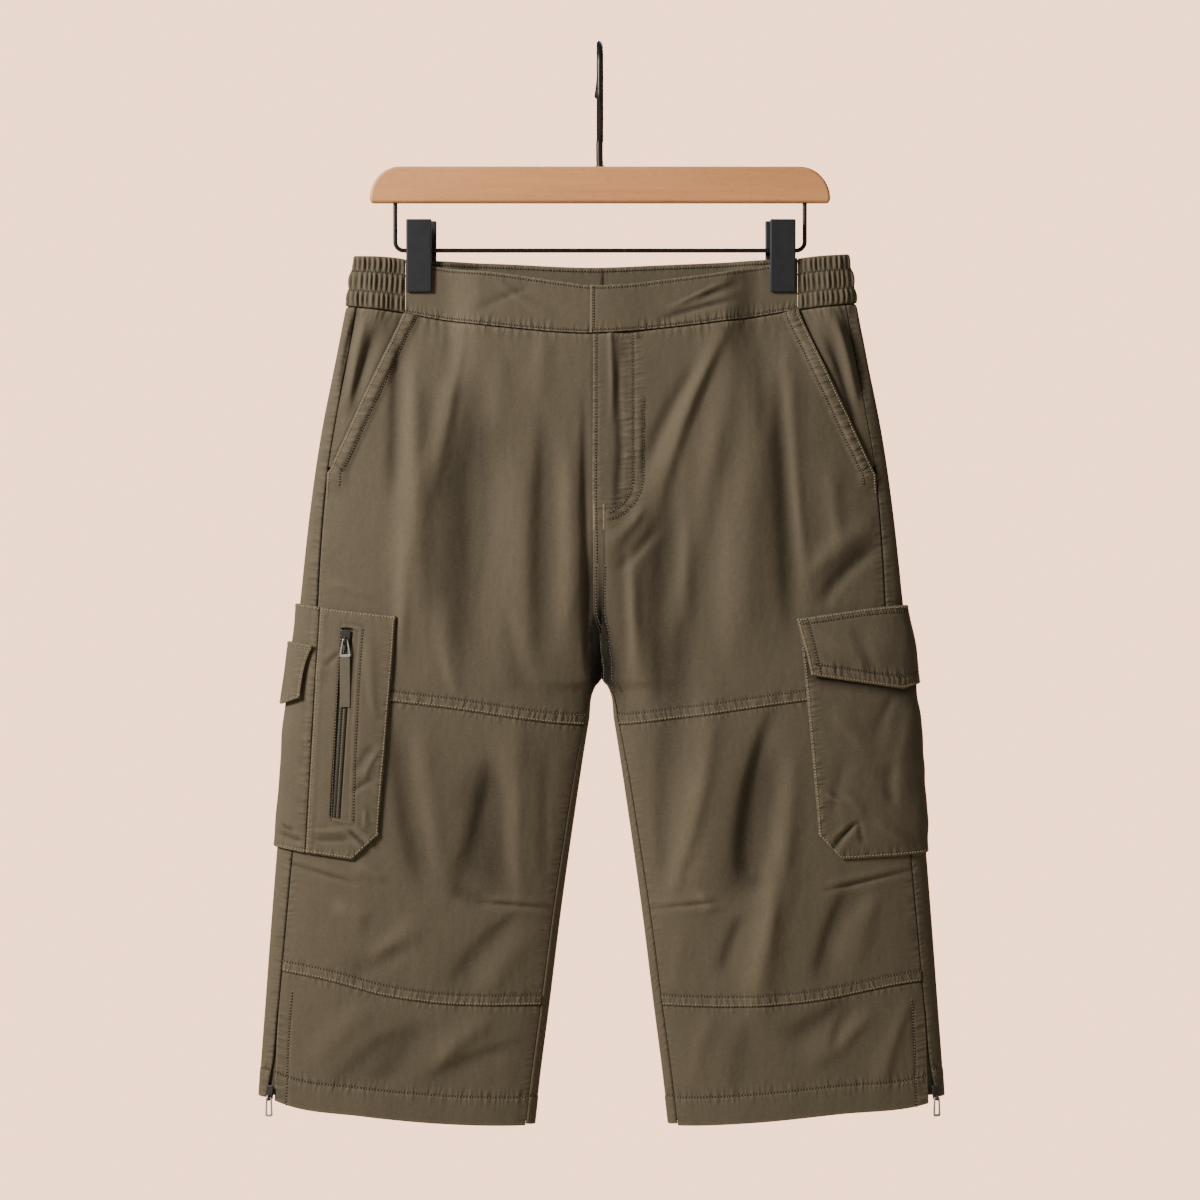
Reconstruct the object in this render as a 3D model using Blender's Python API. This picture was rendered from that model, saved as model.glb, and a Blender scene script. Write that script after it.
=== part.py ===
"""Three-quarter cargo shorts hung from a wooden clip hanger, at their real size.

Run with: blender --background --python part.py
The garment faces -Y and +X is to the right. The origin is the top of the rail, inside the hook.
Tables and sizes are in millimetres. "drop" is a distance below the origin, so z = -drop.
"""

import bpy
import numpy as np
from mathutils import Matrix, Vector

MM = 0.001
SIDES = {"left": -1, "right": 1}  # as seen from the front

# Cloth: walls, and how far pieces stand off what they lie on
WALL = 1.2  # twill with its turned edges
BAND_WALL = 2.0  # waistband: two layers and interfacing
FLAP_WALL = 1.8  # pocket flaps: two layers
TAPE_WALL = 1.0
GAP = 0.2  # each piece stops this far short of a seam line
CENTRE_X = 1.3  # the shorts hang this far to the right of the hook
BAND_LIFT = 0.5  # the waistband stands this far proud of the panels
BAND_LAP = 2.5  # and its lapped end this much further
LAP_LIFT = 2.0  # the lapped front edge stands this far off what it covers
MOUTH_LIFT = 2.5  # so does the edge of a slanted pocket mouth
POCKET_LIFT = 2.1  # a patch pocket's outer face, at its seams
POCKET_PUFF = 2.5  # and its fullness in its middle
ZIP_POCKET_LIFT = 3.3
ZIP_TAPE_LIFT = 1.7
ANKLE_TAPE_LIFT = -1.9  # behind the cloth
FLAP_LIFT, FLAP_KICK = 4.1, 3.3  # at the flap's seam, and how much further its free edge stands out
SIDE_FLAP_LIFT, SIDE_FLAP_KICK = 6.7, 1.5

# Hanger
ROD_GAUGE = 3.7
HOOK_GAUGE = 5.8
HOOK_INSIDE = 18.0  # radius inside the hook
HOOK_JOINT, HOOK_BEND = 95.0, (42.0, 82.0)  # drop of the straight shank's top, and of the bend above it
BAR_TOP, BAR_BOTTOM, BAR_HALF, BAR_DEEP = 101.6, 132.2, 195.5, 13.0
BAR_SHOULDER, BAR_FOOT = 26.0, 3.0  # corner sizes of the bar, above and below
WIRE_HALF, WIRE_DROP, WIRE_BEND = 174.0, 172.6, 7.5
CLIP_CENTRES = {"left": -153.6, "right": 155.1}
CLIP_WIDE, CLIP_TOP, CLIP_KNEE, CLIP_BOTTOM, CLIP_PLATE = 21.7, 146.6, 186.0, 208.3, 2.6
CLIP_LEAN = 3.0  # how far the top of a clip plate leans out
CLIP_SHIFT = 4.5  # the back plate sits this far towards the centre
SPRING_OUTER, SPRING_INNER, SPRING_HALF = 3.4, 2.3, 11.5
PINCHED = 2.35  # half thickness of the pair of waistbands in a clip
CLIP_INNER = PINCHED + BAND_LIFT + 0.4  # from the mid plane to a clip's jaw
PINCH_IN, PINCH_OUT = (102, 134), (198, 169)  # the pinch comes on over these distances from the centre
PINCH_BELOW = (300, 214)  # and over these drops, from below

# The garment's outline from the front, its half depth, and how far its two halves are one tube
OUTLINE = (
    # drop, outer edge, inner edge, half depth, joined
    (170, 208.5, 0.0, 10.5, 1.00),
    (204, 214.0, 0.0, 11.5, 1.00),
    (235, 220.0, 0.0, 15.0, 1.00),
    (266, 226.0, 0.0, 18.0, 1.00),
    (327, 238.0, 0.0, 21.5, 1.00),
    (400, 248.5, 0.0, 23.5, 1.00),
    (436, 252.5, 0.0, 24.0, 0.95),
    (470, 256.0, 0.0, 24.0, 0.80),
    (510, 260.5, 0.0, 24.0, 0.35),
    (536, 263.0, 0.2, 24.0, 0.04),
    (544, 264.0, 5.5, 24.0, 0.00),
    (572, 267.0, 10.5, 24.0, 0.00),
    (653, 273.5, 23.0, 23.0, 0.00),
    (735, 280.0, 34.5, 22.0, 0.00),
    (816, 286.0, 44.5, 20.5, 0.00),
    (870, 290.0, 51.5, 19.5, 0.00),
    (918, 293.0, 57.0, 19.0, 0.00),
)
FULLNESS = 0.4  # exponent of the cross-section: 0.5 is an ellipse, less is flatter with rounder sides
CROTCH_HALF = 1.8  # half depth where front and back meet above the crotch
CROTCH_DROP = 539.0

# Seam lines across the garment: (x, drop) from the photo's left to its right
WAIST_TOP_FRONT = (
    (-215, 177), (-165, 180.3), (-143, 185.7), (-85, 192.5), (-34, 199.8), (-7, 203.2),
    (25, 201.9), (51, 198.5), (103, 191.7), (144, 184.9), (166, 180), (215, 175.5),
)
WAIST_TOP_BACK = (
    (-215, 177), (-143, 181), (-85, 183), (-4, 186), (51, 184), (144, 180), (215, 175.5),
)
WAIST_SEAM_FRONT = (
    (-218, 219.8), (-169, 225.4), (-141, 230.8), (-79, 238.9), (-6, 244.0),
    (64, 238.4), (133, 229.0), (169, 223.0), (218, 217.5),
)
WAIST_SEAM_BACK = (
    (-218, 219.8), (-169, 225.4), (-141, 229.5), (-80, 232), (0, 233),
    (80, 231), (133, 227.5), (169, 223), (218, 217.5),
)
THIGH_SEAM = (
    (-262, 547), (-176, 555.5), (-133, 560.6), (-12, 575.6),
    (12, 575.6), (69, 569.5), (174, 555), (262, 546),
)
SHIN_SEAM = (
    (-280, 782), (-228, 791.8), (-183, 803.7), (-145, 809.6), (-46, 813),
    (46, 813), (117, 813.5), (170, 810), (272, 792.6), (280, 792),
)
HEM_FRONT = (
    (-276, 893.5), (-268, 896.3), (-203, 905.7), (-131, 912.5), (-56, 915), (-40, 915),
    (40, 915), (68, 915), (131, 911.5), (203, 904), (274, 897), (280, 895.5),
)
HEM_BACK = (
    (-295, 890), (-283, 891), (-200, 898), (-120, 905), (-50, 915),
    (50, 915), (120, 905), (200, 898), (283, 891), (295, 890),
)
BACK_SPLIT = 546.0  # the back leg is two solids, parted at this drop, just under the crotch

# Seams that run down the garment: (drop, distance from its centre)
SIDE_SEAM = (
    (215, 206.5), (257, 214), (300, 222), (361, 232), (436, 238.5), (475, 240.5),
    (600, 252.5), (690, 262), (782, 270.5), (817, 273.8),
)
ANKLE_TOP = 817.0  # the ankle zip starts here
ANKLE_FRONT = ((ANKLE_TOP, 273.8), (842, 275.5), (870, 276.3), (898, 277.3))
ANKLE_BACK = ((ANKLE_TOP, 274.2), (859, 277.8), (880, 281.5), (892, 284.0))
ANKLE_TAPE = {"top": 815.0, "bottom": 889.0, "under front": 5.0, "under back": 3.5}
INSEAM_IN = ((539, 0.4), (560, 3.0), (600, 5.0), (690, 6.5), (900, 8.0))  # in from the inner edge
POCKET_MOUTH = ((226, 168), (361, 230.5))
MOUTH_END = POCKET_MOUTH[-1][0]
BEARER_END, BEARER_UNDER = 357.0, 4.0  # where the bearer ends, and how far it goes under the mouth
FLY_EDGE = ((200, -7.3), (420, -7.3), (455, 0.6))  # the lapped edge, down to where the fronts meet
FLY_UNDER = ((200, 3.5), (420, 3.5), (455, -0.6))  # past the centre, below the lap

# The largest folds: soft ridges (+) and troughs (-) that run down the cloth
FOLDS = (
    # face, x at top, x at bottom, drop from, drop to, half width, height
    ("front", -158, -150, 250, 520, 11, 2.4),
    ("front", -118, -112, 300, 560, 17, -2.6),
    ("front", -66, -60, 330, 560, 19, 1.8),
    ("front", 118, 46, 245, 560, 13, 2.6),
    ("front", 84, 58, 320, 620, 15, -2.8),
    ("front", 131, 122, 270, 560, 15, 1.8),
    ("front", 150, 164, 250, 530, 9, -2.4),
    ("front", 96, 66, 590, 760, 20, 2.4),
    ("front", 150, 116, 580, 740, 15, -3.0),
    ("front", -95, -78, 600, 740, 22, -2.4),
    ("front", -60, -64, 600, 730, 15, 1.6),
    ("front", 158, 128, 640, 860, 14, 2.2),
    ("front", -150, -190, 820, 890, 16, -1.6),
    ("back", -120, -105, 300, 620, 20, 2.2),
    ("back", -62, -75, 340, 700, 18, -2.4),
    ("back", 112, 96, 290, 640, 20, -2.2),
    ("back", 60, 72, 360, 700, 18, 2.2),
    ("back", -170, -160, 560, 840, 20, -2.0),
    ("back", 160, 172, 600, 850, 20, 2.0),
)

# Cargo pocket on the photo's left, from its front edge round the side to the back
ZIP_POCKET_TOP = ((-262, 471.5), (-236, 475.6), (-172, 483.2))
ZIP_POCKET_BOTTOM = ((-278, 678), (-248, 683.4), (-209, 688.9), (-186.6, 667.7))
ZIP_POCKET_EDGE = ((480, 172.0), (668, 188.0), (700, 190.7))
ZIP_POCKET_SEAM = ((475, 237.6), (684, 249.8))
POCKET_BACK_TURN = 1.29  # how far the pockets reach round: 1 is the side, 2 the centre back
ZIP_WINDOW = {"top": 0.072, "bottom": 0.84, "near": 0.43, "far": 0.68}  # shares down and across
SIDE_FLAP_TOP = ((-265, 504), (-239.7, 508.5))
SIDE_FLAP_BOTTOM = ((-272, 557), (-265, 559), (-250, 551.5))
SIDE_FLAP_EDGE = ((505, 241.0), (521, 247.0), (555, 252.8))
SIDE_FLAP_BACK_TURN = 1.24

# Cargo pocket on the photo's right
FLAP_POCKET_TOP = ((165, 494), (262, 484))
FLAP_POCKET_BOTTOM = ((184.5, 667.7), (204, 688.5), (250, 686), (280, 683.5))
FLAP_POCKET_EDGE = ((490, 166.7), (527, 170.4), (668, 183.2), (700, 186))
FLAP_TOP = ((160, 486.5), (257, 474), (268, 473.5))
FLAP_BOTTOM = ((176, 533), (254, 545), (270, 539.5))
FLAP_EDGE = ((484, 164.5), (508, 170.4), (535, 176.6))

# Zips: each slider with the pull tab that hangs from it
SLIDERS = {
    # x, drop of its middle, wide, long, face off the cloth, axis below its middle, tab wide, tab long
    "cargo": (-214.0, 501.0, 8.6, 12.6, 5.2, 2.0, 9.6, 15.5),
    "ankle_left": (-278.6, 886.5, 6.0, 12.0, 3.2, 4.2, 6.6, 16.6),
    "ankle_right": (283.4, 886.5, 6.0, 12.0, 3.2, 4.2, 6.6, 16.6),
}
SLIDER_THICK = 2.6
PIVOT_OFF = 1.3  # a tab's axis lies this far off the slider's face
TAB_THICK = 1.3
TAB_BAR, TAB_SIDE, TAB_FOOT = 1.5, 1.5, 2.2  # metal above, beside and below a tab's window
BRIDGE = {"half wide": 0.65, "eye": 1.25, "post": 1.1, "crown": 0.9, "sunk": 0.4}
PULLER_WIDE, PULLER_LONG, PULLER_THICK, PULLER_BELOW = 9.0, 42.0, 1.6, 0.3

CLOTH = "olive twill"
FINISHES = {
    # colour (linear), roughness, metallic
    CLOTH: ((0.130, 0.108, 0.070), 0.85, 0.0),
    "zip tape": ((0.085, 0.072, 0.048), 0.8, 0.0),
    "zip metal": ((0.30, 0.29, 0.27), 0.35, 1.0),
    "puller": ((0.120, 0.104, 0.070), 0.7, 0.0),
    "beech": ((0.62, 0.36, 0.20), 0.45, 0.0),
    "black metal": ((0.018, 0.018, 0.020), 0.45, 0.6),
    "charcoal clip": ((0.022, 0.023, 0.026), 0.55, 0.3),
}


def material(name):
    found = bpy.data.materials.get(name)
    if found:
        return found
    colour, roughness, metallic = FINISHES[name]
    made = bpy.data.materials.new(name)
    made.use_nodes = True
    shader = made.node_tree.nodes["Principled BSDF"]
    shader.inputs["Base Color"].default_value = (*colour, 1.0)
    shader.inputs["Roughness"].default_value = roughness
    shader.inputs["Metallic"].default_value = metallic
    return made


def along(at, rows, column=1):
    """A table's column at these places: a cubic between rows, each slope the mean of its neighbours'."""
    table = np.array(rows, float)
    xs, ys = table[:, 0], table[:, column]
    slopes = np.gradient(ys, xs)
    at = np.clip(at, xs[0], xs[-1])
    i = np.clip(np.searchsorted(xs, at) - 1, 0, len(xs) - 2)
    step = xs[i + 1] - xs[i]
    t = (at - xs[i]) / step
    return (
        (1 + 2 * t) * (1 - t) ** 2 * ys[i]
        + t * (1 - t) ** 2 * step * slopes[i]
        + t * t * (3 - 2 * t) * ys[i + 1]
        + t * t * (t - 1) * step * slopes[i + 1]
    )


def straight(at, rows):
    """The same between rows joined by straight lines, for an outline with corners."""
    table = np.array(rows, float)
    return np.interp(at, table[:, 0], table[:, 1])


def ease(value, start, end):
    """0 before start and 1 after end, with a smooth step between. start may be the larger."""
    t = np.clip((value - start) / (end - start), 0, 1)
    return t * t * (3 - 2 * t)


def fold_height(face, x, drop):
    """The sum of the folds at each point: each is a bell across its line, eased in and out along it."""
    total = np.zeros(np.broadcast(x, drop).shape)
    for where, x_top, x_bottom, first, last, half_width, height in FOLDS:
        line = x_top + (x_bottom - x_top) * (drop - first) / (last - first)
        reach = (last - first) / 3
        fade = ease(drop, first, first + reach) * ease(drop, last, last - reach)
        on_face = face < 0 if where == "front" else face > 0
        total = total + on_face * fade * height * np.exp(-(((x - line) / half_width) ** 2))
    return total


def surface(side, turn, drop):
    """A point of the cloth's outer face. turn goes round the section: 0 is the centre front or the inner
    edge of the leg, 1 the outer edge, 2 the centre back or the inner edge, and past 2 is the front again."""
    turn, drop = np.broadcast_arrays(np.asarray(turn, float), np.asarray(drop, float))
    outer, inner, depth, joined = (along(drop, OUTLINE, column) for column in (1, 2, 3, 4))
    face = np.where((turn > 1) & (turn <= 2), 1.0, -1.0)
    quarter = np.where(turn > 2, turn - 2, np.where(turn > 1, 2 - turn, np.abs(turn)))
    across = np.sin(np.pi / 2 * quarter) ** 2
    from_centre = (inner + across * (outer - inner)) * np.where(turn < 0, -1, 1)
    leg = (4 * across * (1 - across)) ** FULLNESS
    torso = (1 - across**2) ** FULLNESS
    meeting = CROTCH_HALF * (1 - across) ** 6 * ease(drop, CROTCH_DROP + 8, CROTCH_DROP)
    away = depth * ((1 - joined) * leg + joined * torso) + meeting * (1 - joined)
    x = CENTRE_X + side * from_centre
    away = away + fold_height(face, x, drop) * np.minimum(1, 4 * across * (1 - across) + joined)
    beside = np.abs(from_centre)
    in_clip = ease(beside, *PINCH_IN) * ease(beside, *PINCH_OUT) * ease(drop, *PINCH_BELOW)
    away = away * (1 - in_clip) + in_clip * PINCHED
    return np.stack([x, face * away, -drop], axis=-1)


def outward(side, turn, drop):
    """Unit normals of the surface, from small steps round it and down it."""
    turn_step, drop_step = 1e-3, 0.5
    round_it = surface(side, turn + turn_step, drop) - surface(side, turn - turn_step, drop)
    down_it = surface(side, turn, drop + drop_step) - surface(side, turn, drop - drop_step)
    normal = np.cross(down_it, round_it) * side
    return normal / np.linalg.norm(normal, axis=-1, keepdims=True)


def turn_at(side, x, drop):
    """The turn at which the front of the surface has this x."""
    outer, inner = along(drop, OUTLINE, 1), along(drop, OUTLINE, 2)
    from_centre = side * (np.asarray(x, float) - CENTRE_X)
    share = np.clip((np.abs(from_centre) - inner) / (outer - inner), 0, 1)
    return np.where(from_centre < 0, -1, 1) * np.arccos(1 - 2 * share) / np.pi


def settle(side, turns, rows, columns, top, bottom):
    """Turns and drops of a grid whose side edges depend on the drop and whose ends depend on x.
    Each pass works the turns out from the drops and the drops from the x they give."""
    first_drop, passes = 500.0, 12
    drop = np.full((len(rows), columns), first_drop)
    for _ in range(passes):
        turn = turns(drop)
        x = surface(side, turn, drop)[..., 0]
        drop = top(x) + np.asarray(rows, float)[:, None] * (bottom(x) - top(x))
    return turn, drop


def patch(side, stations, rows, first_turn, last_turn, top, bottom, lift=None):
    """Points of a piece of cloth as rows x columns. first_turn and last_turn give its side edges at a drop,
    top and bottom its ends at an x, and lift how far it stands off the surface at an x and a drop."""
    share_across = np.asarray(stations, float)[None, :]
    share_down = np.asarray(rows, float)[:, None]

    def turns(drop):
        return first_turn(drop) + share_across * (last_turn(drop) - first_turn(drop))

    turn, drop = settle(side, turns, rows, share_across.size, top, bottom)
    points = surface(side, turn, drop)
    if lift is not None:
        height = np.broadcast_to(lift(points[..., 0], drop, share_across, share_down), drop.shape)
        points = points + outward(side, turn, drop) * height[..., None]
    return points


def new_object(name, mesh, finish):
    mesh.shade_smooth()
    mesh.set_sharp_from_angle(angle=np.radians(40))
    mesh.materials.append(material(finish))
    made = bpy.data.objects.new(name, mesh)
    bpy.context.scene.collection.objects.link(made)
    return made


def cloth(name, side, points, wall=WALL, finish=CLOTH, hole=None):
    """A wall of cloth whose outer face is this grid. hole names the rows and columns of cells left out."""
    rows, columns = points.shape[:2]
    index = np.arange(rows * columns).reshape(rows, columns)
    keep = np.ones((rows - 1, columns - 1), bool)
    if hole:
        keep[hole] = False
    corners = (index[:-1, :-1], index[:-1, 1:], index[1:, 1:], index[1:, :-1])
    a, b, c, d = (corner[keep] for corner in corners)
    faces = np.concatenate([np.stack([a, d, c], 1), np.stack([a, c, b], 1)])
    if side < 0:
        faces = faces[:, ::-1]
    used, faces = np.unique(faces, return_inverse=True)
    mesh = bpy.data.meshes.new(name)
    places = points.reshape(-1, 3)[used] * MM
    mesh.from_pydata(places.tolist(), [], faces.reshape(-1, 3).tolist())
    made = new_object(name, mesh, finish)
    thickness = made.modifiers.new("wall", "SOLIDIFY")
    thickness.thickness = wall * MM
    thickness.offset = -1
    return made


def even(count):
    return np.linspace(0, 1, count + 1)


def front_edge(side, table, inset=0.0):
    """A side edge on the front that runs down a table of distances from the centre."""
    return lambda drop: turn_at(side, CENTRE_X + side * (along(drop, table) + inset), drop)


def fixed_turn(turn):
    return lambda drop: np.full_like(drop, turn)


def line_at(table, inset=0.0):
    return lambda x: along(x, table) + inset


def corner_line(table):
    return lambda x: straight(x, table)


def level_line(drop):
    return lambda x: np.full_like(x, drop)


def level(height):
    return lambda x, drop, *_: np.full_like(drop, height)


def inseam(side, inset):
    """The inseam's turn on the front, a little way in from the inner edge of the leg."""

    def turn(drop):
        inner = along(drop, OUTLINE, 2)
        return turn_at(side, CENTRE_X + side * (inner + along(drop, INSEAM_IN) + inset), drop)

    return turn


def front_upper(label, side):
    """Waist seam to thigh seam. Its outer edge is the slanted pocket mouth, then the side seam."""
    laps_over = side > 0

    def inner(drop):
        fly = FLY_EDGE if laps_over else FLY_UNDER
        torso = turn_at(side, CENTRE_X + along(drop, fly), drop)
        return np.where(drop < CROTCH_DROP, torso, inseam(side, GAP)(drop))

    def outer(drop):
        mouth = straight(drop, POCKET_MOUTH)
        seam = along(drop, SIDE_SEAM) - GAP
        edge = np.where(drop < MOUTH_END, np.minimum(mouth, seam), seam)
        return turn_at(side, CENTRE_X + side * edge, drop)

    def lift(x, drop, *_):
        to_mouth = straight(drop, POCKET_MOUTH) - side * (x - CENTRE_X)
        at_mouth = ease(to_mouth, 17, 8) * ease(drop, MOUTH_END + 19, MOUTH_END - 3)
        at_fly = ease(x - CENTRE_X, 17, 7) * ease(drop, 495, 458) if laps_over else 0
        return np.maximum(MOUTH_LIFT * at_mouth, LAP_LIFT * at_fly)

    stations = (0, 0.06, 0.13, 0.2, 0.28, 0.36, 0.44, 0.52, 0.6, 0.68, 0.76, 0.84, 0.91, 0.965, 1)
    rows = (0, 0.05, 0.1, 0.16, 0.23, 0.31, 0.41, 0.52, 0.64, 0.75, 0.84, 0.9, 0.945, 1)
    points = patch(
        side, stations, rows, inner, outer,
        line_at(WAIST_SEAM_FRONT, GAP), line_at(THIGH_SEAM, -GAP), lift,
    )
    cloth(f"front_upper_{label}", side, points)


def front_knee(label, side):
    points = patch(
        side, even(13), even(7), inseam(side, GAP), front_edge(side, SIDE_SEAM, -GAP),
        line_at(THIGH_SEAM, GAP), line_at(SHIN_SEAM, -GAP),
    )
    cloth(f"front_knee_{label}", side, points)


def front_lower(label, side):
    def outer(drop):
        edge = np.where(drop < ANKLE_TOP, along(drop, SIDE_SEAM), along(drop, ANKLE_FRONT))
        return turn_at(side, CENTRE_X + side * (edge - GAP), drop)

    points = patch(
        side, even(13), even(4), inseam(side, GAP), outer,
        line_at(SHIN_SEAM, GAP), line_at(HEM_FRONT),
    )
    cloth(f"front_lower_{label}", side, points)


def back_leg(label, side):
    """The back, wrapped onto the front at the side seam and the inseam. The real one is one length of
    cloth from waist to hem. Here it is two solids, so that the hollow of the leg stays clear."""
    middle = (1.0, 1.05, 1.1, 1.17, 1.26, 1.36, 1.46, 1.56, 1.66, 1.76, 1.86, 1.94)
    side_share, inner_share = (0, 0.4, 0.75), (0.35, 0.7, 1.0)
    columns = len(side_share) + len(middle) + len(inner_share)

    def side_edge(drop):
        edge = np.where(drop < ANKLE_TOP, along(drop, SIDE_SEAM), along(drop, ANKLE_BACK))
        return turn_at(side, CENTRE_X + side * (edge + 2 * GAP), drop)

    def inner_edge(drop):
        seat = GAP + 3 * GAP * ease(drop, 430, 480)  # the halves stand further apart towards the crotch
        at_centre = 2 - turn_at(side, CENTRE_X + side * seat, drop)
        return np.where(drop < CROTCH_DROP, at_centre, 2 + inseam(side, -2 * GAP)(drop))

    def turns(drop):
        first, last = side_edge(drop[:, :1]), inner_edge(drop[:, -1:])
        return np.hstack(
            [first + (middle[0] - first) * np.array(side_share)]
            + [np.broadcast_to(np.array(middle), (len(drop), len(middle)))]
            + [middle[-1] + (last - middle[-1]) * np.array(inner_share)]
        )

    stretches = {
        "upper": (
            (0, 0.11, 0.25, 0.4, 0.51, 0.62, 0.72, 0.81, 0.905, 0.972, 1),
            line_at(WAIST_SEAM_BACK, GAP), level_line(BACK_SPLIT - GAP),
        ),
        "lower": (
            (0, 0.08, 0.2, 0.34, 0.49, 0.64, 0.78, 0.89, 1),
            level_line(BACK_SPLIT + GAP), line_at(HEM_BACK),
        ),
    }
    for stretch, (rows, top, bottom) in stretches.items():
        turn, drop = settle(side, turns, rows, columns, top, bottom)
        cloth(f"back_leg_{stretch}_{label}", side, surface(side, turn, drop))


def pocket_bearer(label, side):
    """The hip piece behind the slanted mouth, from a little under the mouth to the side seam."""

    def inner(drop):
        return turn_at(side, CENTRE_X + side * (straight(drop, POCKET_MOUTH) - BEARER_UNDER), drop)

    points = patch(
        side, even(5), even(6), inner, front_edge(side, SIDE_SEAM, -GAP),
        line_at(WAIST_SEAM_FRONT, GAP), level_line(BEARER_END),
    )
    cloth(f"pocket_bearer_{label}", side, points)


def shares(side, places):
    """The shares of the way round at which a waistband passes these x, from its first to its last."""
    band_middle = 205.0
    turns = turn_at(side, places, band_middle)
    return (turns - turns[0]) / (turns[-1] - turns[0])


def waistband():
    """Two flat fronts lapped at the centre, two shirred sides and the back."""
    flat_end, side_end, back_end = 166.4, 166.9, 166.4  # distances from the centre
    front_columns = (8, 20, 45, 72, 96, 108, 121, 134, 150, flat_end)
    back_columns = (0, 30, 60, 85, 103, 118, 134, back_end)

    def at_x(side, x):
        return lambda drop: turn_at(side, x, drop)

    def behind_x(side, x):
        return lambda drop: 2 - turn_at(side, x, drop)

    top, bottom = line_at(WAIST_TOP_FRONT), line_at(WAIST_SEAM_FRONT, -GAP)
    halves = []
    for label, side in SIDES.items():
        laps_over = side > 0

        def lapped(x, drop, *_, laps_over=laps_over):
            lap = ease(x - CENTRE_X, 20, 8) if laps_over else 0 * x
            return BAND_LIFT + BAND_LAP * lap

        start = -8.3 if laps_over else 3.5
        columns = [start] + [CENTRE_X + side * distance for distance in front_columns]
        front = patch(
            side, shares(side, columns), even(2), at_x(side, start), at_x(side, columns[-1]),
            top, bottom, lapped,
        )
        cloth(f"waistband_front_{label}", side, front, BAND_WALL)
        edge = CENTRE_X + side * side_end
        around = patch(
            side, even(12), even(2), at_x(side, edge), behind_x(side, edge), top, bottom, level(BAND_LIFT),
        )
        cloth(f"waistband_side_{label}", side, around, BAND_WALL)
        columns = [CENTRE_X + side * distance for distance in back_columns]
        half = patch(
            side, shares(side, columns), even(2), fixed_turn(2.0), behind_x(side, columns[-1]),
            line_at(WAIST_TOP_BACK), line_at(WAIST_SEAM_BACK, -GAP), level(BAND_LIFT),
        )
        halves.append(half)
    across = np.concatenate([halves[0][:, ::-1], halves[1][:, 1:]], axis=1)
    cloth("waistband_back", -1, across, BAND_WALL)


def puffed(x, drop, share_across, share_down):
    """A patch pocket's height off the leg: its seams all round and some fullness in the middle."""
    fullness = np.sin(np.pi * share_across) ** 0.8 * np.sin(np.pi * share_down) ** 0.6
    return POCKET_LIFT + POCKET_PUFF * fullness


def zip_pocket():
    """The pocket on the photo's left: a front with the zip's window, a side strip with a small flap."""
    side = -1
    near, seam = front_edge(side, ZIP_POCKET_EDGE), front_edge(side, ZIP_POCKET_SEAM, -GAP)
    top, bottom = line_at(ZIP_POCKET_TOP), corner_line(ZIP_POCKET_BOTTOM)
    window = ZIP_WINDOW
    columns = (0, 0.15, 0.3, window["near"], window["far"], 0.84, 1)
    rows = (0, window["top"], 0.34, 0.59, window["bottom"], 1)
    front = patch(side, columns, rows, near, seam, top, bottom, level(ZIP_POCKET_LIFT))
    cloth("cargo_zip_pocket_front", side, front, hole=(slice(1, 4), slice(3, 4)))
    strip = patch(
        side, even(9), even(4), front_edge(side, ZIP_POCKET_SEAM, GAP), fixed_turn(POCKET_BACK_TURN),
        top, bottom, level(ZIP_POCKET_LIFT),
    )
    cloth("cargo_zip_pocket_side", side, strip)
    under = 0.03  # the tape reaches this share past the window at each side
    tape = patch(
        side, (window["near"] - under, 0.555, window["far"] + under), (0.065, 0.34, 0.59, 0.865),
        near, seam, top, bottom, level(ZIP_TAPE_LIFT),
    )
    cloth("cargo_zip_tape", side, tape, TAPE_WALL, "zip tape")
    flap = patch(
        side, even(7), even(2), front_edge(side, SIDE_FLAP_EDGE), fixed_turn(SIDE_FLAP_BACK_TURN),
        line_at(SIDE_FLAP_TOP), corner_line(SIDE_FLAP_BOTTOM),
        lambda x, drop, share_across, share_down: SIDE_FLAP_LIFT + SIDE_FLAP_KICK * share_down,
    )
    cloth("cargo_side_flap", side, flap, FLAP_WALL)


def flap_pocket():
    """The pocket on the photo's right and its flap."""
    side = 1
    back = fixed_turn(POCKET_BACK_TURN)
    body = patch(
        side, (0, 0.06, 0.14, 0.22, 0.3, 0.38, 0.45, 0.52, 0.59, 0.66, 0.74, 0.83, 0.92, 1), even(5),
        front_edge(side, FLAP_POCKET_EDGE), back,
        line_at(FLAP_POCKET_TOP), corner_line(FLAP_POCKET_BOTTOM), puffed,
    )
    cloth("cargo_flap_pocket", side, body)
    flap = patch(
        side, (0, 0.1, 0.2, 0.3, 0.38, 0.45, 0.52, 0.59, 0.66, 0.77, 0.88, 1), even(3),
        front_edge(side, FLAP_EDGE), back, line_at(FLAP_TOP), corner_line(FLAP_BOTTOM),
        lambda x, drop, share_across, share_down: FLAP_LIFT + FLAP_KICK * ease(share_down, 0, 0.6),
    )
    cloth("cargo_flap", side, flap, FLAP_WALL)


def ankle_tape(label, side):
    """The zip tape behind the open wedge at the hem."""
    points = patch(
        side, even(2), (0, 0.3, 0.65, 1),
        front_edge(side, ANKLE_FRONT, -ANKLE_TAPE["under front"]),
        front_edge(side, ANKLE_BACK, ANKLE_TAPE["under back"]),
        level_line(ANKLE_TAPE["top"]), level_line(ANKLE_TAPE["bottom"]), level(ANKLE_TAPE_LIFT),
    )
    cloth(f"ankle_zip_tape_{label}", side, points, TAPE_WALL, "zip tape")


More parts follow.
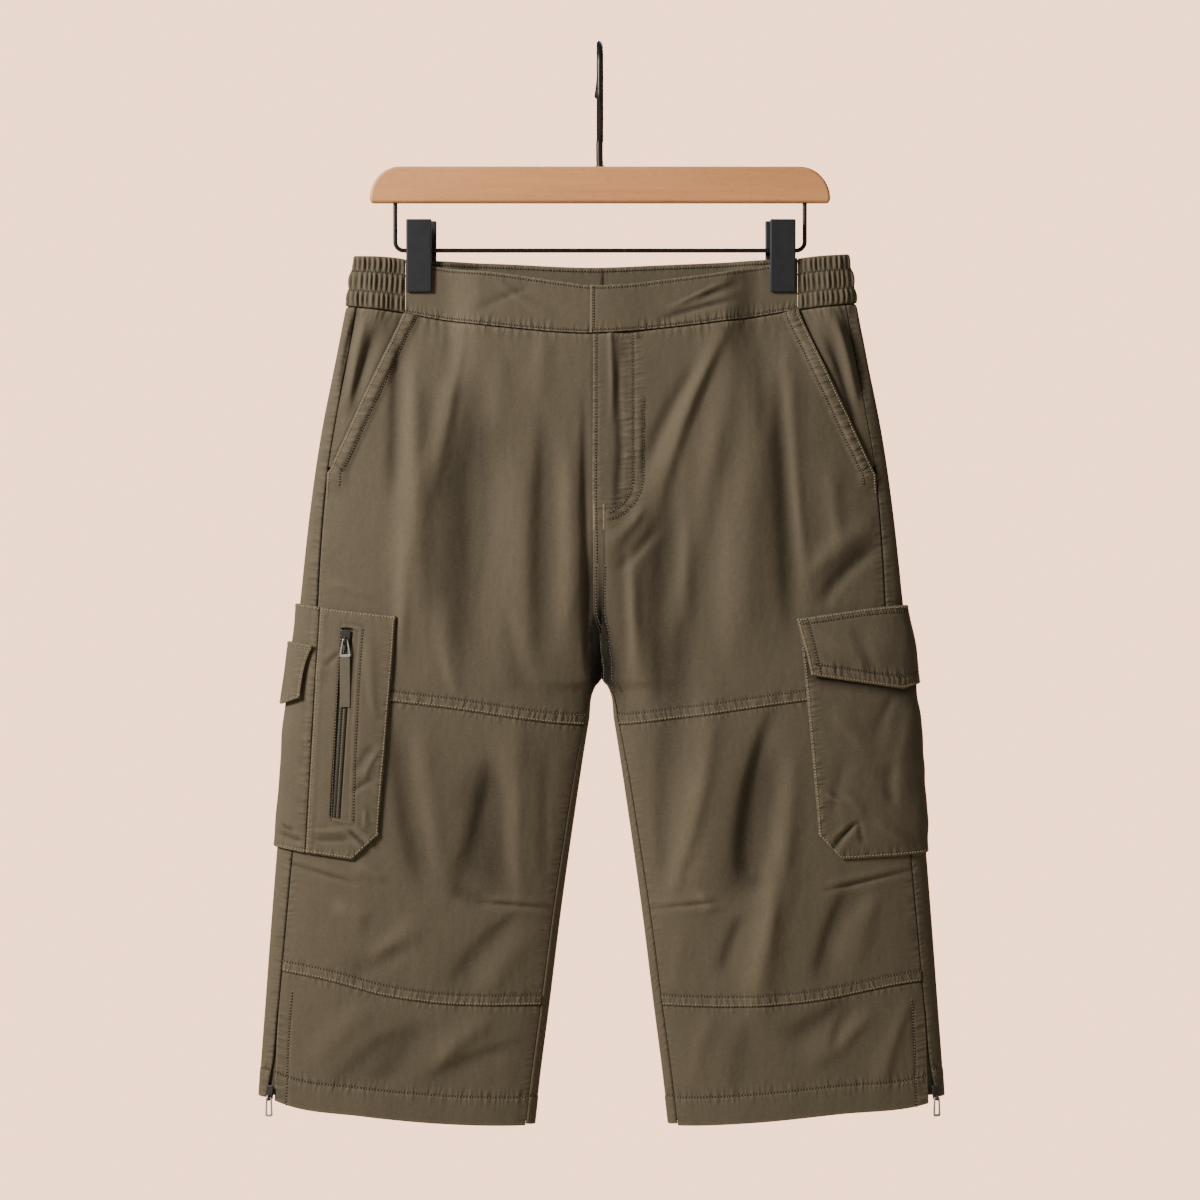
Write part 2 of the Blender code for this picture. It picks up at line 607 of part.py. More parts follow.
def prism(outline, low, high, axis=1, hole=None):
    """Vertices and faces of a plate: an outline in the other two directions, from low to high along this
    axis, with a hole of as many points. Along Y the outline is in x and z, and runs anticlockwise from -Y."""
    count = len(outline)
    loops = [np.insert(outline, axis, end, axis=1) for end in (low, high)]
    ring = np.arange(count)
    after = np.roll(ring, -1)
    if hole is None:
        faces = [tuple(ring), tuple(ring[::-1] + count)]
        faces += list(zip(ring + count, after + count, after, ring))
        return np.vstack(loops), faces
    loops += [np.insert(hole, axis, end, axis=1) for end in (low, high)]
    faces = list(zip(ring, after, after + 2 * count, ring + 2 * count))
    faces += list(zip(ring + count, ring + 3 * count, after + 3 * count, after + count))
    faces += list(zip(ring + count, after + count, after, ring))
    faces += list(zip(ring + 2 * count, after + 2 * count, after + 3 * count, ring + 3 * count))
    return np.vstack(loops), faces


def rounded(wide, tall, radius, centre=(0, 0), arc=3):
    """A rectangle with round corners in x and z, anticlockwise seen from -Y."""
    turns = np.linspace(0, np.pi / 2, arc + 1)
    points = []
    for quarter, (sx, sz) in enumerate(((1, 1), (-1, 1), (-1, -1), (1, -1))):
        around = turns + quarter * np.pi / 2
        middle = (centre[0] + sx * (wide / 2 - radius), centre[1] + sz * (tall / 2 - radius))
        points += [(middle[0] + radius * np.cos(t), middle[1] + radius * np.sin(t)) for t in around]
    return np.array(points)


def hard(name, shape, finish, place=None, bevel=0.0):
    """A hard piece from vertices and faces in millimetres, placed by a matrix."""
    vertices, faces = shape
    mesh = bpy.data.meshes.new(name)
    mesh.from_pydata((np.asarray(vertices, float) * MM).tolist(), [], [tuple(map(int, f)) for f in faces])
    made = new_object(name, mesh, finish)
    if place is not None:
        made.matrix_world = place
    if bevel:
        edge = made.modifiers.new("edges", "BEVEL")
        edge.width = bevel * MM
        edge.segments = 2
        edge.limit_method = "ANGLE"
    return made


def staple():
    """The bridge over a tab's bar: a square arch in y and z, its feet sunk in the slider."""
    foot, crown = PIVOT_OFF + BRIDGE["sunk"], -BRIDGE["eye"] - BRIDGE["crown"]
    inside, outside = BRIDGE["eye"], BRIDGE["eye"] + BRIDGE["post"]
    profile = np.array(
        [
            (foot, -outside), (crown, -outside), (crown, outside), (foot, outside),
            (foot, inside), (-inside, inside), (-inside, -inside), (foot, -inside),
        ]
    )
    vertices, faces = prism(profile, -BRIDGE["half wide"], BRIDGE["half wide"], axis=0)
    return vertices, [face[::-1] for face in faces]


def zip_pull(key, name):
    """A zip's slider with the bridge on its face, and the pull tab hung from the bridge.

    Both share a frame on the cloth: its origin is on the tab's axis, -Y points off the cloth, -Z down."""
    x, middle, wide, long, face_off, below_middle, tab_wide, tab_long = SLIDERS[key]
    side = 1 if x > CENTRE_X else -1
    turn = float(turn_at(side, x, middle))
    normal = outward(side, turn, middle)
    axis_at = surface(side, turn, middle) + normal * (face_off + PIVOT_OFF)
    place = Matrix.Translation(Vector((axis_at[0], axis_at[1], -middle - below_middle)) * MM)
    place = place @ Matrix.Rotation(np.arctan2(normal[0], -normal[1]), 4, "Z")
    body = prism(rounded(wide, long, wide * 0.3, (0, below_middle)), PIVOT_OFF, PIVOT_OFF + SLIDER_THICK)
    slider = hard(f"{name}_slider", body, "zip metal", place)
    join(slider, hard(f"{name}_bridge_former", staple(), "zip metal", place))
    above_axis = TAB_BAR / 2
    outline = rounded(tab_wide, tab_long, 1.6, (0, above_axis - tab_long / 2))
    eye_long = tab_long - TAB_BAR - TAB_FOOT
    window = rounded(tab_wide - 2 * TAB_SIDE, eye_long, 0.8, (0, above_axis - TAB_BAR - eye_long / 2))
    hard(f"{name}_pull", prism(outline, -TAB_THICK / 2, TAB_THICK / 2, hole=window), "zip metal", place)
    return place


def join(first, second):
    """Makes the second solid one body with the first."""
    union = first.modifiers.new("union", "BOOLEAN")
    union.operation = "UNION"
    union.object = second
    second.hide_render = True
    second.display_type = "WIRE"


def cargo_puller(place):
    """The cloth strip stitched to the cargo zip's tab, its face bare."""
    tab_long = SLIDERS["cargo"][-1]
    centre = (0, TAB_BAR / 2 - tab_long - PULLER_BELOW - PULLER_LONG / 2)
    strip = prism(rounded(PULLER_WIDE, PULLER_LONG, 0.8, centre), -PULLER_THICK / 2, PULLER_THICK / 2)
    hard("cargo_zip_puller", strip, "puller", place)


def tube(name, route, gauge, finish, resolution=3):
    """A round rod along points in millimetres, with closed ends."""
    curve = bpy.data.curves.new(name, "CURVE")
    curve.dimensions = "3D"
    line = curve.splines.new("POLY")
    line.points.add(len(route) - 1)
    for point, (x, y, z) in zip(line.points, route):
        point.co = (x * MM, y * MM, z * MM, 1)
    curve.bevel_depth = gauge / 2 * MM
    curve.bevel_resolution = resolution
    curve.use_fill_caps = True
    curve.materials.append(material(finish))
    made = bpy.data.objects.new(name, curve)
    bpy.context.scene.collection.objects.link(made)


def hook():
    """Over the rail, down behind the mid plane, forward through a bend and straight into the bar."""
    radius = HOOK_INSIDE + HOOK_GAUGE / 2
    past_level = 0.12  # the arc runs on this far, in radians
    arc = [
        (0, radius * np.cos(t), radius * np.sin(t) - HOOK_INSIDE)
        for t in np.linspace(np.pi, -past_level, 15)
    ]
    tip = [(0, radius + 1.5, -28.0), (-2.0, radius + 3.0, -38.0)]
    bend_top, bend_bottom = HOOK_BEND
    bend = [
        (0, -radius * (1 - ease(t, 0, 1)), -bend_top - (bend_bottom - bend_top) * t)
        for t in np.linspace(0, 1, 8)
    ]
    foot = [(0, 0, -HOOK_JOINT), (0, 0, 0.3 - BAR_TOP)]
    tube("hanger_hook", foot[::-1] + bend[::-1] + arc + tip, HOOK_GAUGE, "black metal")


def bar():
    """The wooden bar: large round shoulders above, nearly square corners below."""
    rise = BAR_BOTTOM - BAR_TOP - BAR_FOOT
    turns = np.linspace(0, np.pi / 2, 7)
    upper = [
        (BAR_HALF - BAR_SHOULDER * (1 - np.cos(t)), rise * (np.sin(t) - 1) - BAR_TOP) for t in turns
    ]
    lower = [
        (BAR_HALF - BAR_FOOT * (1 - np.sin(t)), BAR_FOOT * (1 - np.cos(t)) - BAR_BOTTOM)
        for t in turns[::2]
    ]
    half = lower + upper
    outline = np.array(half + [(-x, z) for x, z in half[::-1]])
    hard("hanger_bar", prism(outline, -BAR_DEEP / 2, BAR_DEEP / 2), "beech", bevel=2.2)


def wire():
    """Down from the bar at each end, with a bend into the straight run that holds the clips."""
    reach, floor = WIRE_HALF - WIRE_BEND, WIRE_BEND - WIRE_DROP
    half = [(WIRE_HALF, 0, -BAR_BOTTOM - 0.3)]
    half += [
        (reach + WIRE_BEND * np.cos(t), 0, floor - WIRE_BEND * np.sin(t))
        for t in np.linspace(0, np.pi / 2, 6)
    ]
    tube("hanger_wire", half + [(-x, y, z) for x, y, z in half[::-1]], ROD_GAUGE, "black metal", 2)


def clip(label, x):
    """Two sprung plates that pinch the waistband, and the spring's barrel on the wire."""
    jaw, knee, top = CLIP_INNER, CLIP_INNER + 0.6, CLIP_INNER + CLIP_LEAN
    profile = np.array(
        [
            (jaw, -CLIP_BOTTOM), (jaw, -CLIP_KNEE), (top, -CLIP_TOP), (top + CLIP_PLATE, -CLIP_TOP),
            (knee + CLIP_PLATE, -CLIP_KNEE), (jaw + CLIP_PLATE, -CLIP_BOTTOM),
        ]
    )
    plates = {
        # which way it faces, its middle, how wide it is
        "front": (-1, x, CLIP_WIDE),
        "back": (1, x - CLIP_SHIFT * np.sign(x), CLIP_WIDE - 2),
    }
    for end, (face, middle, wide) in plates.items():
        vertices, faces = prism(profile * (face, 1), middle - wide / 2, middle + wide / 2, axis=0)
        if face < 0:
            faces = [f[::-1] for f in faces]
        hard(f"clip_{end}_{label}", (vertices, faces), "charcoal clip", bevel=0.7)
    turns = np.linspace(0, 2 * np.pi, 13)[:-1]
    circle = np.stack([np.cos(turns), np.sin(turns)], 1)
    barrel = prism(circle * SPRING_OUTER, -SPRING_HALF, SPRING_HALF, hole=circle * SPRING_INNER)
    place = Matrix.Translation(Vector((x, 0, -WIRE_DROP)) * MM) @ Matrix.Rotation(np.pi / 2, 4, "Z")
    hard(f"clip_spring_{label}", barrel, "black metal", place)


def main():
    for leftover in list(bpy.data.objects):
        bpy.data.objects.remove(leftover)
    for label, side in SIDES.items():
        front_upper(label, side)
        front_knee(label, side)
        front_lower(label, side)
        back_leg(label, side)
        pocket_bearer(label, side)
        ankle_tape(label, side)
        zip_pull(f"ankle_{label}", f"ankle_zip_{label}")
    waistband()
    zip_pocket()
    cargo_puller(zip_pull("cargo", "cargo_zip"))
    flap_pocket()
    hook()
    bar()
    wire()
    for label, x in CLIP_CENTRES.items():
        clip(label, x)


main()
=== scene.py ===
"""Three-quarter cargo shorts hung from a wooden clip hanger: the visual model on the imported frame.

It is laid out as a Blender add-on. Each operator makes one group of pieces, and main() runs them all.
The garment faces -Y and +X is to the right. The origin is the top of the rail, inside the hook.
Tables and sizes are in millimetres. "drop" is a distance below the origin, so z = -drop.
"""

import bpy
import numpy as np
from bpy.props import FloatProperty, FloatVectorProperty, PointerProperty
from mathutils import Matrix, Vector


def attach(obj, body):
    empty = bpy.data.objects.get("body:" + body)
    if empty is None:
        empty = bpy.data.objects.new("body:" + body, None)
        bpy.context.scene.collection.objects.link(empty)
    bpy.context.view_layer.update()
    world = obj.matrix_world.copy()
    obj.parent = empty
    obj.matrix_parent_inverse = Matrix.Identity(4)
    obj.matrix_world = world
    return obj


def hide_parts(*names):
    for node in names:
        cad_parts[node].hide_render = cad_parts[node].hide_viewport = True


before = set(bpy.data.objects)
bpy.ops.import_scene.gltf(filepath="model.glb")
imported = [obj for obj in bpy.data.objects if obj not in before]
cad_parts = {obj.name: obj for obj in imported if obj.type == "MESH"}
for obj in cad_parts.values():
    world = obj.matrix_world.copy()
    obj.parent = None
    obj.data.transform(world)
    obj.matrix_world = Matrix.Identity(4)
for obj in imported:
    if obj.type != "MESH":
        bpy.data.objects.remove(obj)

bl_info = {
    "name": "Cargo shorts on a clip hanger",
    "version": (1, 0, 0),
    "blender": (4, 5, 0),
    "location": "3D View > Sidebar > Shorts",
    "description": "Builds the visual model of a pair of cargo shorts and of its hanger",
    "category": "Object",
}

MM = 0.001
SIDES = {"left": -1, "right": 1}  # as seen from the front

# Cloth: walls, and how far pieces stand off what they lie on
WALL = 1.2  # twill with its turned edges
BAND_WALL = 2.0  # waistband: two layers and interfacing
FLAP_WALL = 1.8  # pocket flaps: two layers
TAPE_WALL = 1.0
GAP = 0.2  # each piece stops this far short of a seam line
CENTRE_X = 1.3  # the shorts hang this far to the right of the hook
BAND_LIFT = 0.5  # the waistband stands this far proud of the panels
BAND_LAP = 2.5  # and its lapped end this much further
LAP_LIFT = 2.0  # the lapped front edge stands this far off what it covers
MOUTH_LIFT = 2.5  # so does the edge of a slanted pocket mouth
POCKET_LIFT = 2.1  # a patch pocket's outer face, at its seams
POCKET_PUFF = 2.5  # and its fullness in its middle
ZIP_POCKET_LIFT = 3.3
ZIP_TAPE_LIFT = 1.7
ANKLE_TAPE_LIFT = -1.9  # behind the cloth
FLAP_LIFT, FLAP_KICK = 4.1, 3.3  # at the flap's seam, and how much further its free edge stands out
SIDE_FLAP_LIFT, SIDE_FLAP_KICK = 6.7, 1.5

# Hanger
ROD_GAUGE = 3.7
HOOK_GAUGE = 5.8
HOOK_INSIDE = 18.0  # radius inside the hook
HOOK_JOINT, HOOK_BEND = 95.0, (42.0, 82.0)  # drop of the straight shank's top, and of the bend above it
BAR_TOP, BAR_BOTTOM, BAR_HALF, BAR_DEEP = 101.6, 132.2, 195.5, 13.0
BAR_SHOULDER, BAR_FOOT = 26.0, 3.0  # corner sizes of the bar, above and below
WIRE_HALF, WIRE_DROP, WIRE_BEND = 174.0, 172.6, 7.5
CLIP_CENTRES = {"left": -153.6, "right": 155.1}
CLIP_WIDE, CLIP_TOP, CLIP_KNEE, CLIP_BOTTOM, CLIP_PLATE = 21.7, 146.6, 186.0, 208.3, 2.6
CLIP_LEAN = 3.0  # how far the top of a clip plate leans out
CLIP_SHIFT = 4.5  # the back plate sits this far towards the centre
SPRING_OUTER, SPRING_INNER, SPRING_HALF = 3.4, 2.3, 11.5
PINCHED = 2.35  # half thickness of the pair of waistbands in a clip
CLIP_INNER = PINCHED + BAND_LIFT + 0.4  # from the mid plane to a clip's jaw
PINCH_IN, PINCH_OUT = (102, 134), (198, 169)  # the pinch comes on over these distances from the centre
PINCH_BELOW = (300, 214)  # and over these drops, from below

# The garment's outline from the front, its half depth, and how far its two halves are one tube
OUTLINE = (
    # drop, outer edge, inner edge, half depth, joined
    (170, 208.5, 0.0, 10.5, 1.00),
    (204, 214.0, 0.0, 11.5, 1.00),
    (235, 220.0, 0.0, 15.0, 1.00),
    (266, 226.0, 0.0, 18.0, 1.00),
    (327, 238.0, 0.0, 21.5, 1.00),
    (400, 248.5, 0.0, 23.5, 1.00),
    (436, 252.5, 0.0, 24.0, 0.95),
    (470, 256.0, 0.0, 24.0, 0.80),
    (510, 260.5, 0.0, 24.0, 0.35),
    (536, 263.0, 0.2, 24.0, 0.04),
    (544, 264.0, 5.5, 24.0, 0.00),
    (572, 267.0, 10.5, 24.0, 0.00),
    (653, 273.5, 23.0, 23.0, 0.00),
    (735, 280.0, 34.5, 22.0, 0.00),
    (816, 286.0, 44.5, 20.5, 0.00),
    (870, 290.0, 51.5, 19.5, 0.00),
    (918, 293.0, 57.0, 19.0, 0.00),
)
FULLNESS = 0.4  # exponent of the cross-section: 0.5 is an ellipse, less is flatter with rounder sides
CROTCH_HALF = 1.8  # half depth where front and back meet above the crotch
CROTCH_DROP = 539.0

# Seam lines across the garment: (x, drop) from the photo's left to its right
WAIST_TOP_FRONT = (
    (-215, 177), (-165, 180.3), (-143, 185.7), (-85, 192.5), (-34, 199.8), (-7, 203.2),
    (25, 201.9), (51, 198.5), (103, 191.7), (144, 184.9), (166, 180), (215, 175.5),
)
WAIST_TOP_BACK = (
    (-215, 177), (-143, 181), (-85, 183), (-4, 186), (51, 184), (144, 180), (215, 175.5),
)
WAIST_SEAM_FRONT = (
    (-218, 219.8), (-169, 225.4), (-141, 230.8), (-79, 238.9), (-6, 244.0),
    (64, 238.4), (133, 229.0), (169, 223.0), (218, 217.5),
)
WAIST_SEAM_BACK = (
    (-218, 219.8), (-169, 225.4), (-141, 229.5), (-80, 232), (0, 233),
    (80, 231), (133, 227.5), (169, 223), (218, 217.5),
)
THIGH_SEAM = (
    (-262, 547), (-176, 555.5), (-133, 560.6), (-12, 575.6),
    (12, 575.6), (69, 569.5), (174, 555), (262, 546),
)
SHIN_SEAM = (
    (-280, 782), (-228, 791.8), (-183, 803.7), (-145, 809.6), (-46, 813),
    (46, 813), (117, 813.5), (170, 810), (272, 792.6), (280, 792),
)
HEM_FRONT = (
    (-276, 893.5), (-268, 896.3), (-203, 905.7), (-131, 912.5), (-56, 915), (-40, 915),
    (40, 915), (68, 915), (131, 911.5), (203, 904), (274, 897), (280, 895.5),
)
HEM_BACK = (
    (-295, 890), (-283, 891), (-200, 898), (-120, 905), (-50, 915),
    (50, 915), (120, 905), (200, 898), (283, 891), (295, 890),
)

# Seams that run down the garment: (drop, distance from its centre)
SIDE_SEAM = (
    (215, 206.5), (257, 214), (300, 222), (361, 232), (436, 238.5), (475, 240.5),
    (600, 252.5), (690, 262), (782, 270.5), (817, 273.8),
)
ANKLE_TOP = 817.0  # the ankle zip starts here
ANKLE_FRONT = ((ANKLE_TOP, 273.8), (842, 275.5), (870, 276.3), (898, 277.3))
ANKLE_BACK = ((ANKLE_TOP, 274.2), (859, 277.8), (880, 281.5), (892, 284.0))
ANKLE_TAPE = {"top": 815.0, "bottom": 889.0, "under front": 5.0, "under back": 3.5}
INSEAM_IN = ((539, 0.4), (560, 3.0), (600, 5.0), (690, 6.5), (900, 8.0))  # in from the inner edge
POCKET_MOUTH = ((226, 168), (361, 230.5))
MOUTH_END = POCKET_MOUTH[-1][0]
BEARER_END, BEARER_UNDER = 357.0, 4.0  # where the bearer ends, and how far it goes under the mouth
# The lapped edge, down to where the fronts meet, and how far the other front goes past the centre below it
FLY_EDGE = ((200, -7.3), (300, -7.3), (400, -7.3), (430, -6.8), (490, -6.4), (520, -4.0), (537, -0.1))
FLY_UNDER = ((200, 3.5), (300, 3.5), (400, 3.5), (430, 2.6), (490, 2.0), (520, 1.0), (537, -0.1))

# The largest folds: soft ridges (+) and troughs (-) that run down the cloth
FOLDS = (
    # face, x at top, x at bottom, drop from, drop to, half width, height
    ("front", -158, -150, 250, 520, 11, 2.4),
    ("front", -118, -112, 300, 560, 17, -2.6),
    ("front", -66, -60, 330, 560, 19, 1.8),
    ("front", 118, 46, 245, 560, 13, 2.6),
    ("front", 84, 58, 320, 620, 15, -2.8),
    ("front", 131, 122, 270, 560, 15, 1.8),
    ("front", 150, 164, 250, 530, 9, -2.4),
    ("front", 96, 66, 590, 760, 20, 2.4),
    ("front", 150, 116, 580, 740, 15, -3.0),
    ("front", -95, -78, 600, 740, 22, -2.4),
    ("front", -60, -64, 600, 730, 15, 1.6),
    ("front", 158, 128, 640, 860, 14, 2.2),
    ("front", -150, -190, 820, 890, 16, -1.6),
    ("back", -120, -105, 300, 620, 20, 2.2),
    ("back", -62, -75, 340, 700, 18, -2.4),
    ("back", 112, 96, 290, 640, 20, -2.2),
    ("back", 60, 72, 360, 700, 18, 2.2),
    ("back", -170, -160, 560, 840, 20, -2.0),
    ("back", 160, 172, 600, 850, 20, 2.0),
)

# Cargo pocket on the photo's left, from its front edge round the side to the back
ZIP_POCKET_TOP = ((-262, 471.5), (-236, 475.6), (-172, 483.2))
ZIP_POCKET_BOTTOM = ((-278, 678), (-248, 683.4), (-209, 688.9), (-186.6, 667.7))
ZIP_POCKET_EDGE = ((480, 172.0), (668, 188.0), (700, 190.7))
ZIP_POCKET_SEAM = ((475, 237.6), (684, 249.8))
POCKET_BACK_TURN = 1.29  # how far the pockets reach round: 1 is the side, 2 the centre back
ZIP_WINDOW = {"top": 0.072, "bottom": 0.84, "near": 0.43, "far": 0.68}  # shares down and across
ZIP_SLOT = dict(ZIP_WINDOW, near=0.485, far=0.635)  # the window in the visual model, nearer the photo's
ZIP_ROW = 0.065  # from the slot to the stitches beside it, as a share across
SIDE_FLAP_TOP = ((-265, 504), (-239.7, 508.5))
SIDE_FLAP_BOTTOM = ((-272, 557), (-265, 559), (-250, 551.5))
SIDE_FLAP_EDGE = ((505, 241.0), (521, 247.0), (555, 252.8))
SIDE_FLAP_BACK_TURN = 1.24

# Cargo pocket on the photo's right
FLAP_POCKET_TOP = ((165, 494), (262, 484))
FLAP_POCKET_BOTTOM = ((184.5, 667.7), (204, 688.5), (250, 686), (280, 683.5))
FLAP_POCKET_EDGE = ((490, 166.7), (527, 170.4), (668, 183.2), (700, 186))
FLAP_TOP = ((160, 486.5), (257, 474), (268, 473.5))
FLAP_BOTTOM = ((176, 533), (254, 545), (270, 539.5))
FLAP_EDGE = ((484, 164.5), (508, 170.4), (535, 176.6))

# Zips: each slider with the pull tab that hangs from it
SLIDERS = {
    # x, drop of its middle, wide, long, face off the cloth, axis below its middle, tab wide, tab long
    "cargo": (-214.0, 501.0, 8.6, 12.6, 5.2, 2.0, 9.6, 15.5),
    "ankle_left": (-278.6, 886.5, 6.0, 12.0, 3.2, 4.2, 6.6, 16.6),
    "ankle_right": (283.4, 886.5, 6.0, 12.0, 3.2, 4.2, 6.6, 16.6),
}
ZIP_NAMES = {  # the start of each zip's CAD nodes, and the body of its pull
    "cargo": ("cargo_zip", "cargo_pull"), "ankle_left": ("ankle_zip_left", "ankle_pull_left"),
    "ankle_right": ("ankle_zip_right", "ankle_pull_right"),
}
SLIDER_THICK = 2.6
PIVOT_OFF = 1.3  # a tab's axis lies this far off the slider's face
TAB_THICK = 1.3
TAB_BAR, TAB_SIDE, TAB_FOOT = 1.5, 1.5, 2.2  # metal above, beside and below a tab's window
BRIDGE = {"half wide": 0.65, "eye": 1.25, "post": 1.1, "crown": 0.9, "sunk": 0.4}
PULLER_WIDE, PULLER_LONG, PULLER_THICK, PULLER_BELOW = 9.0, 42.0, 1.6, 0.3

# Sewing, as distances from the edges of the pieces
TUCK = 2.5  # how far panels run up behind the waistband
FELL_WIDE = 8.6  # from a felled seam to the row above it
MOUTH_EDGE_ROW, MOUTH_BAND = 1.8, 11.6  # from a pocket mouth to its two rows
FLY_ROW = 3.2  # from the lapped edge to its stitches
HEM_DEEP, ANKLE_ROW = 24.0, 11.0
BAND_TOP_ROW, BAND_FOOT_ROW = 2.6, 2.2
SHIRR_ROWS = (0.30, 0.68)  # the rows between the channels, as shares of the way down
SHIRR_PITCH, SHIRR_HIGH = 4.3, 2.2
FLY_J_INNER = ((28.2, 244), (28.2, 368), (26.6, 377), (22.0, 386), (15.9, 391), (8.5, 396.2))
FLY_J_OUTER = ((37.0, 300), (36.8, 368), (34.6, 378), (29.6, 387), (20.0, 397), (9.4, 401.8))
RISE_ROWS = (2.4, 10.4)  # from the lapped edge to the rows below the fly
BAR_TACKS = {"at": (-4.6, 3.4), "top": 389, "bottom": 411}
COIL_PITCH = 1.36
SPRING_TURNS = 8

# Creases on each surface: each runs from one place to another, with a bow to its left (+) as it runs down
FRONT_CREASES = (
    # x, drop, to x, to drop, bow, half width, lean, height
    (-153, 236, -165, 500, 4, 8, 0.2, 1.3),
    (-163, 405, -168, 515, 0, 7, 0.0, 1.3),
    (-172, 250, -173, 385, 0, 6, 0.3, -1.7),
    (-117, 229, -149, 392, -5, 9, -0.2, 1.7),
    (-127, 240, -124, 292, 0, 6, 0.0, -1.3),
    (-101, 285, -107, 462, 3, 13, 0.3, -1.8),
    (-84, 262, -88, 330, 0, 8, 0.0, 0.9),
    (-46, 320, -48, 520, 2, 9, 0.3, -2.2),
    (-27, 340, -28, 510, -2, 7, 0.0, 1.7),
    (-13, 300, -11, 545, 0, 3.6, 0.3, -1.5),
    (0, 488, 0, 560, 0, 8, 0.0, -1.8),
    (56, 385, 50, 560, 0, 9, 0.0, -2.3),
    (76, 300, 74, 500, 3, 9, 0.0, 1.2),
    (-7, 425, -3, 560, 3, 8, 0.4, -1.8),
    (-46, 246, -52, 300, 0, 6, 0.0, 0.8),
    (-232, 455, -190, 468, -2, 3.4, 0.0, 0.9),
    (-132, 470, -120, 552, 3, 8, 0.2, 1.2),
    (-78, 480, -58, 556, 2, 7, 0.0, -1.0),
    (109, 234, 46, 396, 5, 9, -0.3, 2.4),
    (90, 262, 34, 372, 5, 7, -0.2, -1.3),
    (112, 360, 108, 520, 0, 10, 0.2, 1.5),
    (158, 232, 173, 452, 3, 7, 0.2, 1.6),
    (137, 238, 139, 330, 0, 5, 0.0, -1.0),
    (7, 424, 38, 390, 2, 6, 0.0, 1.4),
    (14, 446, 52, 404, 2, 6, 0.3, -1.2),
    (27, 420, 34, 560, 2, 8, 0.2, 1.9),
    (12, 500, 22, 572, 2, 6, 0.0, -1.1),
    (240, 420, 186, 474, 4, 8, -0.2, -1.8),
    (232, 404, 176, 450, 3, 8, 0.0, 1.4),
    (196, 352, 205, 430, 2, 9, 0.0, 1.0),
    (-171, 575, -148, 716, 3, 9, 0.3, -1.9),
    (-152, 575, -132, 700, 3, 8, -0.2, 1.3),
    (-92, 600, -120, 716, -5, 13, 0.3, -2.0),
    (-69, 558, -67, 735, 3, 10, -0.2, 1.9),
    (-43, 590, -45, 706, 2, 6, 0.0, -1.3),
    (-124, 712, -92, 726, 2, 9, 0.0, -1.2),
    (-224, 727, -196, 742, 0, 9, 0.0, 1.4),
    (-207, 692, -182, 706, 0, 6, 0.0, 1.1),
    (-150, 742, -196, 778, 3, 10, 0.2, 1.2),
    (-66, 733, -126, 800, 5, 9, 0.3, -1.5),
    (-52, 748, -98, 806, 3, 8, -0.2, 1.3),
    (-160, 764, -214, 790, 2, 7, 0.0, -1.0),
    (-82, 818, -140, 866, 4, 8, -0.2, 1.5),
    (-60, 842, -150, 880, 4, 8, 0.3, -1.3),
    (-190, 812, -248, 866, 4, 8, 0.0, 1.1),
    (-172, 836, -226, 886, 3, 7, 0.2, -1.1),
    (95, 545, 53, 735, -9, 10, -0.2, 2.2),
    (56, 572, 53, 716, 2, 7, 0.2, -1.5),
    (147, 562, 122, 706, 9, 9, 0.3, -2.2),
    (163, 590, 156, 700, 0, 9, -0.2, 1.4),
    (122, 690, 140, 716, 0, 7, 0.0, -1.0),
    (84, 716, 96, 734, 0, 6, 0.0, 1.1),
    (148, 716, 126, 808, -3, 8, -0.2, 1.5),
    (121, 736, 103, 786, 2, 7, 0.2, -1.6),
    (215, 708, 184, 794, 5, 11, 0.3, -1.9),
    (236, 716, 214, 786, 4, 9, -0.2, 1.2),
    (70, 744, 62, 806, 2, 8, 0.0, 1.0),
    (157, 842, 208, 806, 3, 7, 0.0, -1.3),
    (176, 862, 230, 818, 3, 8, 0.2, 1.3),
    (266, 800, 236, 888, 3, 8, -0.2, 1.6),
    (214, 806, 196, 852, 2, 6, 0.2, -1.2),
    (96, 818, 76, 886, 3, 9, 0.0, 1.1),
    (130, 822, 118, 890, 3, 8, 0.2, -1.0),
    (-205, 222, -218, 300, 3, 5, 0.3, -2.0),
    (-187, 236, -210, 312, 3, 6, 0.2, -2.0),
    (-197, 228, -213, 306, 3, 5, -0.2, 1.5),
    (206, 222, 222, 300, -3, 5, 0.3, -1.8),
    (190, 240, 214, 318, -3, 6, 0.2, -1.6),
    (198, 228, 218, 306, -3, 5, -0.2, 1.5),
)
